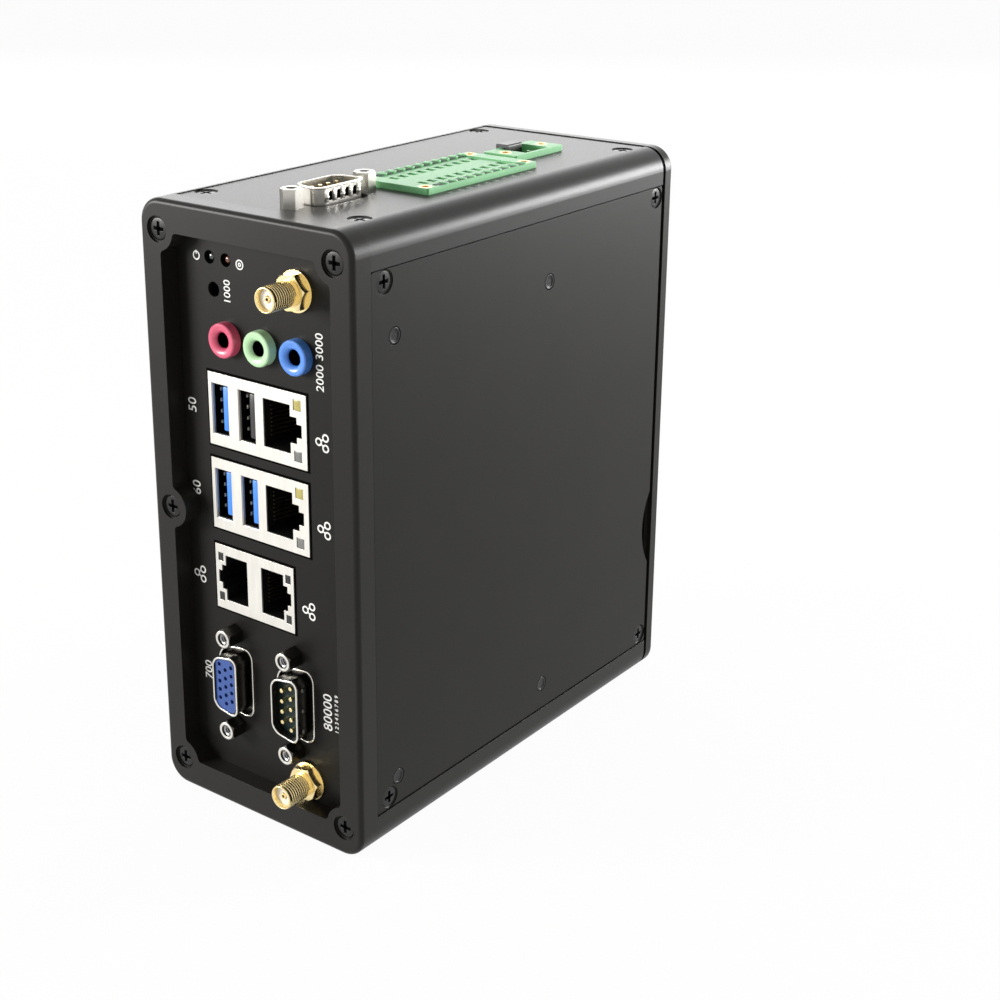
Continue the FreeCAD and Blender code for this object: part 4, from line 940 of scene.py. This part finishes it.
# %% camera
camera_data = bpy.data.cameras.new("camera")
camera = bpy.data.objects.new("camera", camera_data)
bpy.context.scene.collection.objects.link(camera)
camera.location = (0.26638, -0.33387, 0.23385)
camera.rotation_euler = (math.radians(90 - 18.615), 0, math.radians(38.059))
camera_data.sensor_width = 36
camera_data.lens = 62.69
camera_data.shift_x = 0.0601
camera_data.shift_y = -0.0935
camera_data.clip_start = 0.01
bpy.context.scene.camera = camera
bpy.context.scene.view_settings.view_transform = "Standard"

# %% floor and surround
bpy.ops.mesh.primitive_plane_add(size=12, location=(0, 0, -0.02 * MM))
floor = bpy.context.object
floor.name = "floor"


def seen_ray(tree):
    """1 for camera, glossy and transmission rays, 0 for diffuse ones."""
    path = tree.nodes.new("ShaderNodeLightPath")
    total = None
    for kind in ("Is Camera Ray", "Is Glossy Ray", "Is Transmission Ray"):
        if total is None:
            total = path.outputs[kind]
            continue
        either = tree.nodes.new("ShaderNodeMath")
        either.operation = "MAXIMUM"
        tree.links.new(total, either.inputs[0])
        tree.links.new(path.outputs[kind], either.inputs[1])
        total = either.outputs["Value"]
    return total


pale = bpy.data.materials.new("pale_floor")
pale.use_nodes = True
pale_tree = pale.node_tree
pale_tree.nodes["Principled BSDF"].inputs["Base Color"].default_value = (0.86, 0.86, 0.85, 1)
pale_tree.nodes["Principled BSDF"].inputs["Roughness"].default_value = 0.9
pale_tree.nodes["Principled BSDF"].inputs["Specular IOR Level"].default_value = 0.1
glow = pale_tree.nodes.new("ShaderNodeEmission")
glow.inputs["Color"].default_value = (1, 1, 1, 1)
glow.inputs["Strength"].default_value = 1.0
share = pale_tree.nodes.new("ShaderNodeMath")
share.operation = "MULTIPLY"
share.inputs[1].default_value = 0.955
pale_tree.links.new(seen_ray(pale_tree), share.inputs[0])
blend = pale_tree.nodes.new("ShaderNodeMixShader")
pale_tree.links.new(share.outputs["Value"], blend.inputs["Fac"])
pale_tree.links.new(pale_tree.nodes["Principled BSDF"].outputs["BSDF"], blend.inputs[1])
pale_tree.links.new(glow.outputs["Emission"], blend.inputs[2])
pale_tree.links.new(blend.outputs["Shader"], pale_tree.nodes["Material Output"].inputs["Surface"])
dress(floor, pale)

world = bpy.data.worlds.new("surround")
bpy.context.scene.world = world
world.use_nodes = True
world_tree = world.node_tree
bright = world_tree.nodes["Background"]
bright.inputs["Color"].default_value = (1, 1, 1, 1)
strength = world_tree.nodes.new("ShaderNodeMapRange")
strength.inputs["To Min"].default_value = 0.36
strength.inputs["To Max"].default_value = 1.0
world_tree.links.new(seen_ray(world_tree), strength.inputs["Value"])
world_tree.links.new(strength.outputs["Result"], bright.inputs["Strength"])


# %% softboxes
def softbox(name, place, aim, size, watts, color=(1, 1, 1)):
    data = bpy.data.lights.new(name, "AREA")
    data.shape = "RECTANGLE"
    data.size, data.size_y = size
    data.energy = watts
    data.color = color
    lamp = bpy.data.objects.new(name, data)
    bpy.context.scene.collection.objects.link(lamp)
    lamp.location = place
    lamp.rotation_euler = (Vector(aim) - Vector(place)).to_track_quat("-Z", "Y").to_euler()
    lamp.visible_camera = False
    return lamp


softbox("front_box", (-0.50, -0.54, 0.24), (-0.01, -0.06, 0.14), (0.30, 0.26), 6.0, (1.0, 0.985, 0.96))
softbox("side_box", (0.40, 0.64, 0.21), (0.03, 0.04, 0.15), (0.30, 0.22), 7.0)
softbox("back_box", (-0.75, 1.10, 0.50), (0, 0, 0.15), (2.2, 0.60), 12.0)
print("stage ready")

# %% the closing lines
bpy.context.view_layer.update()
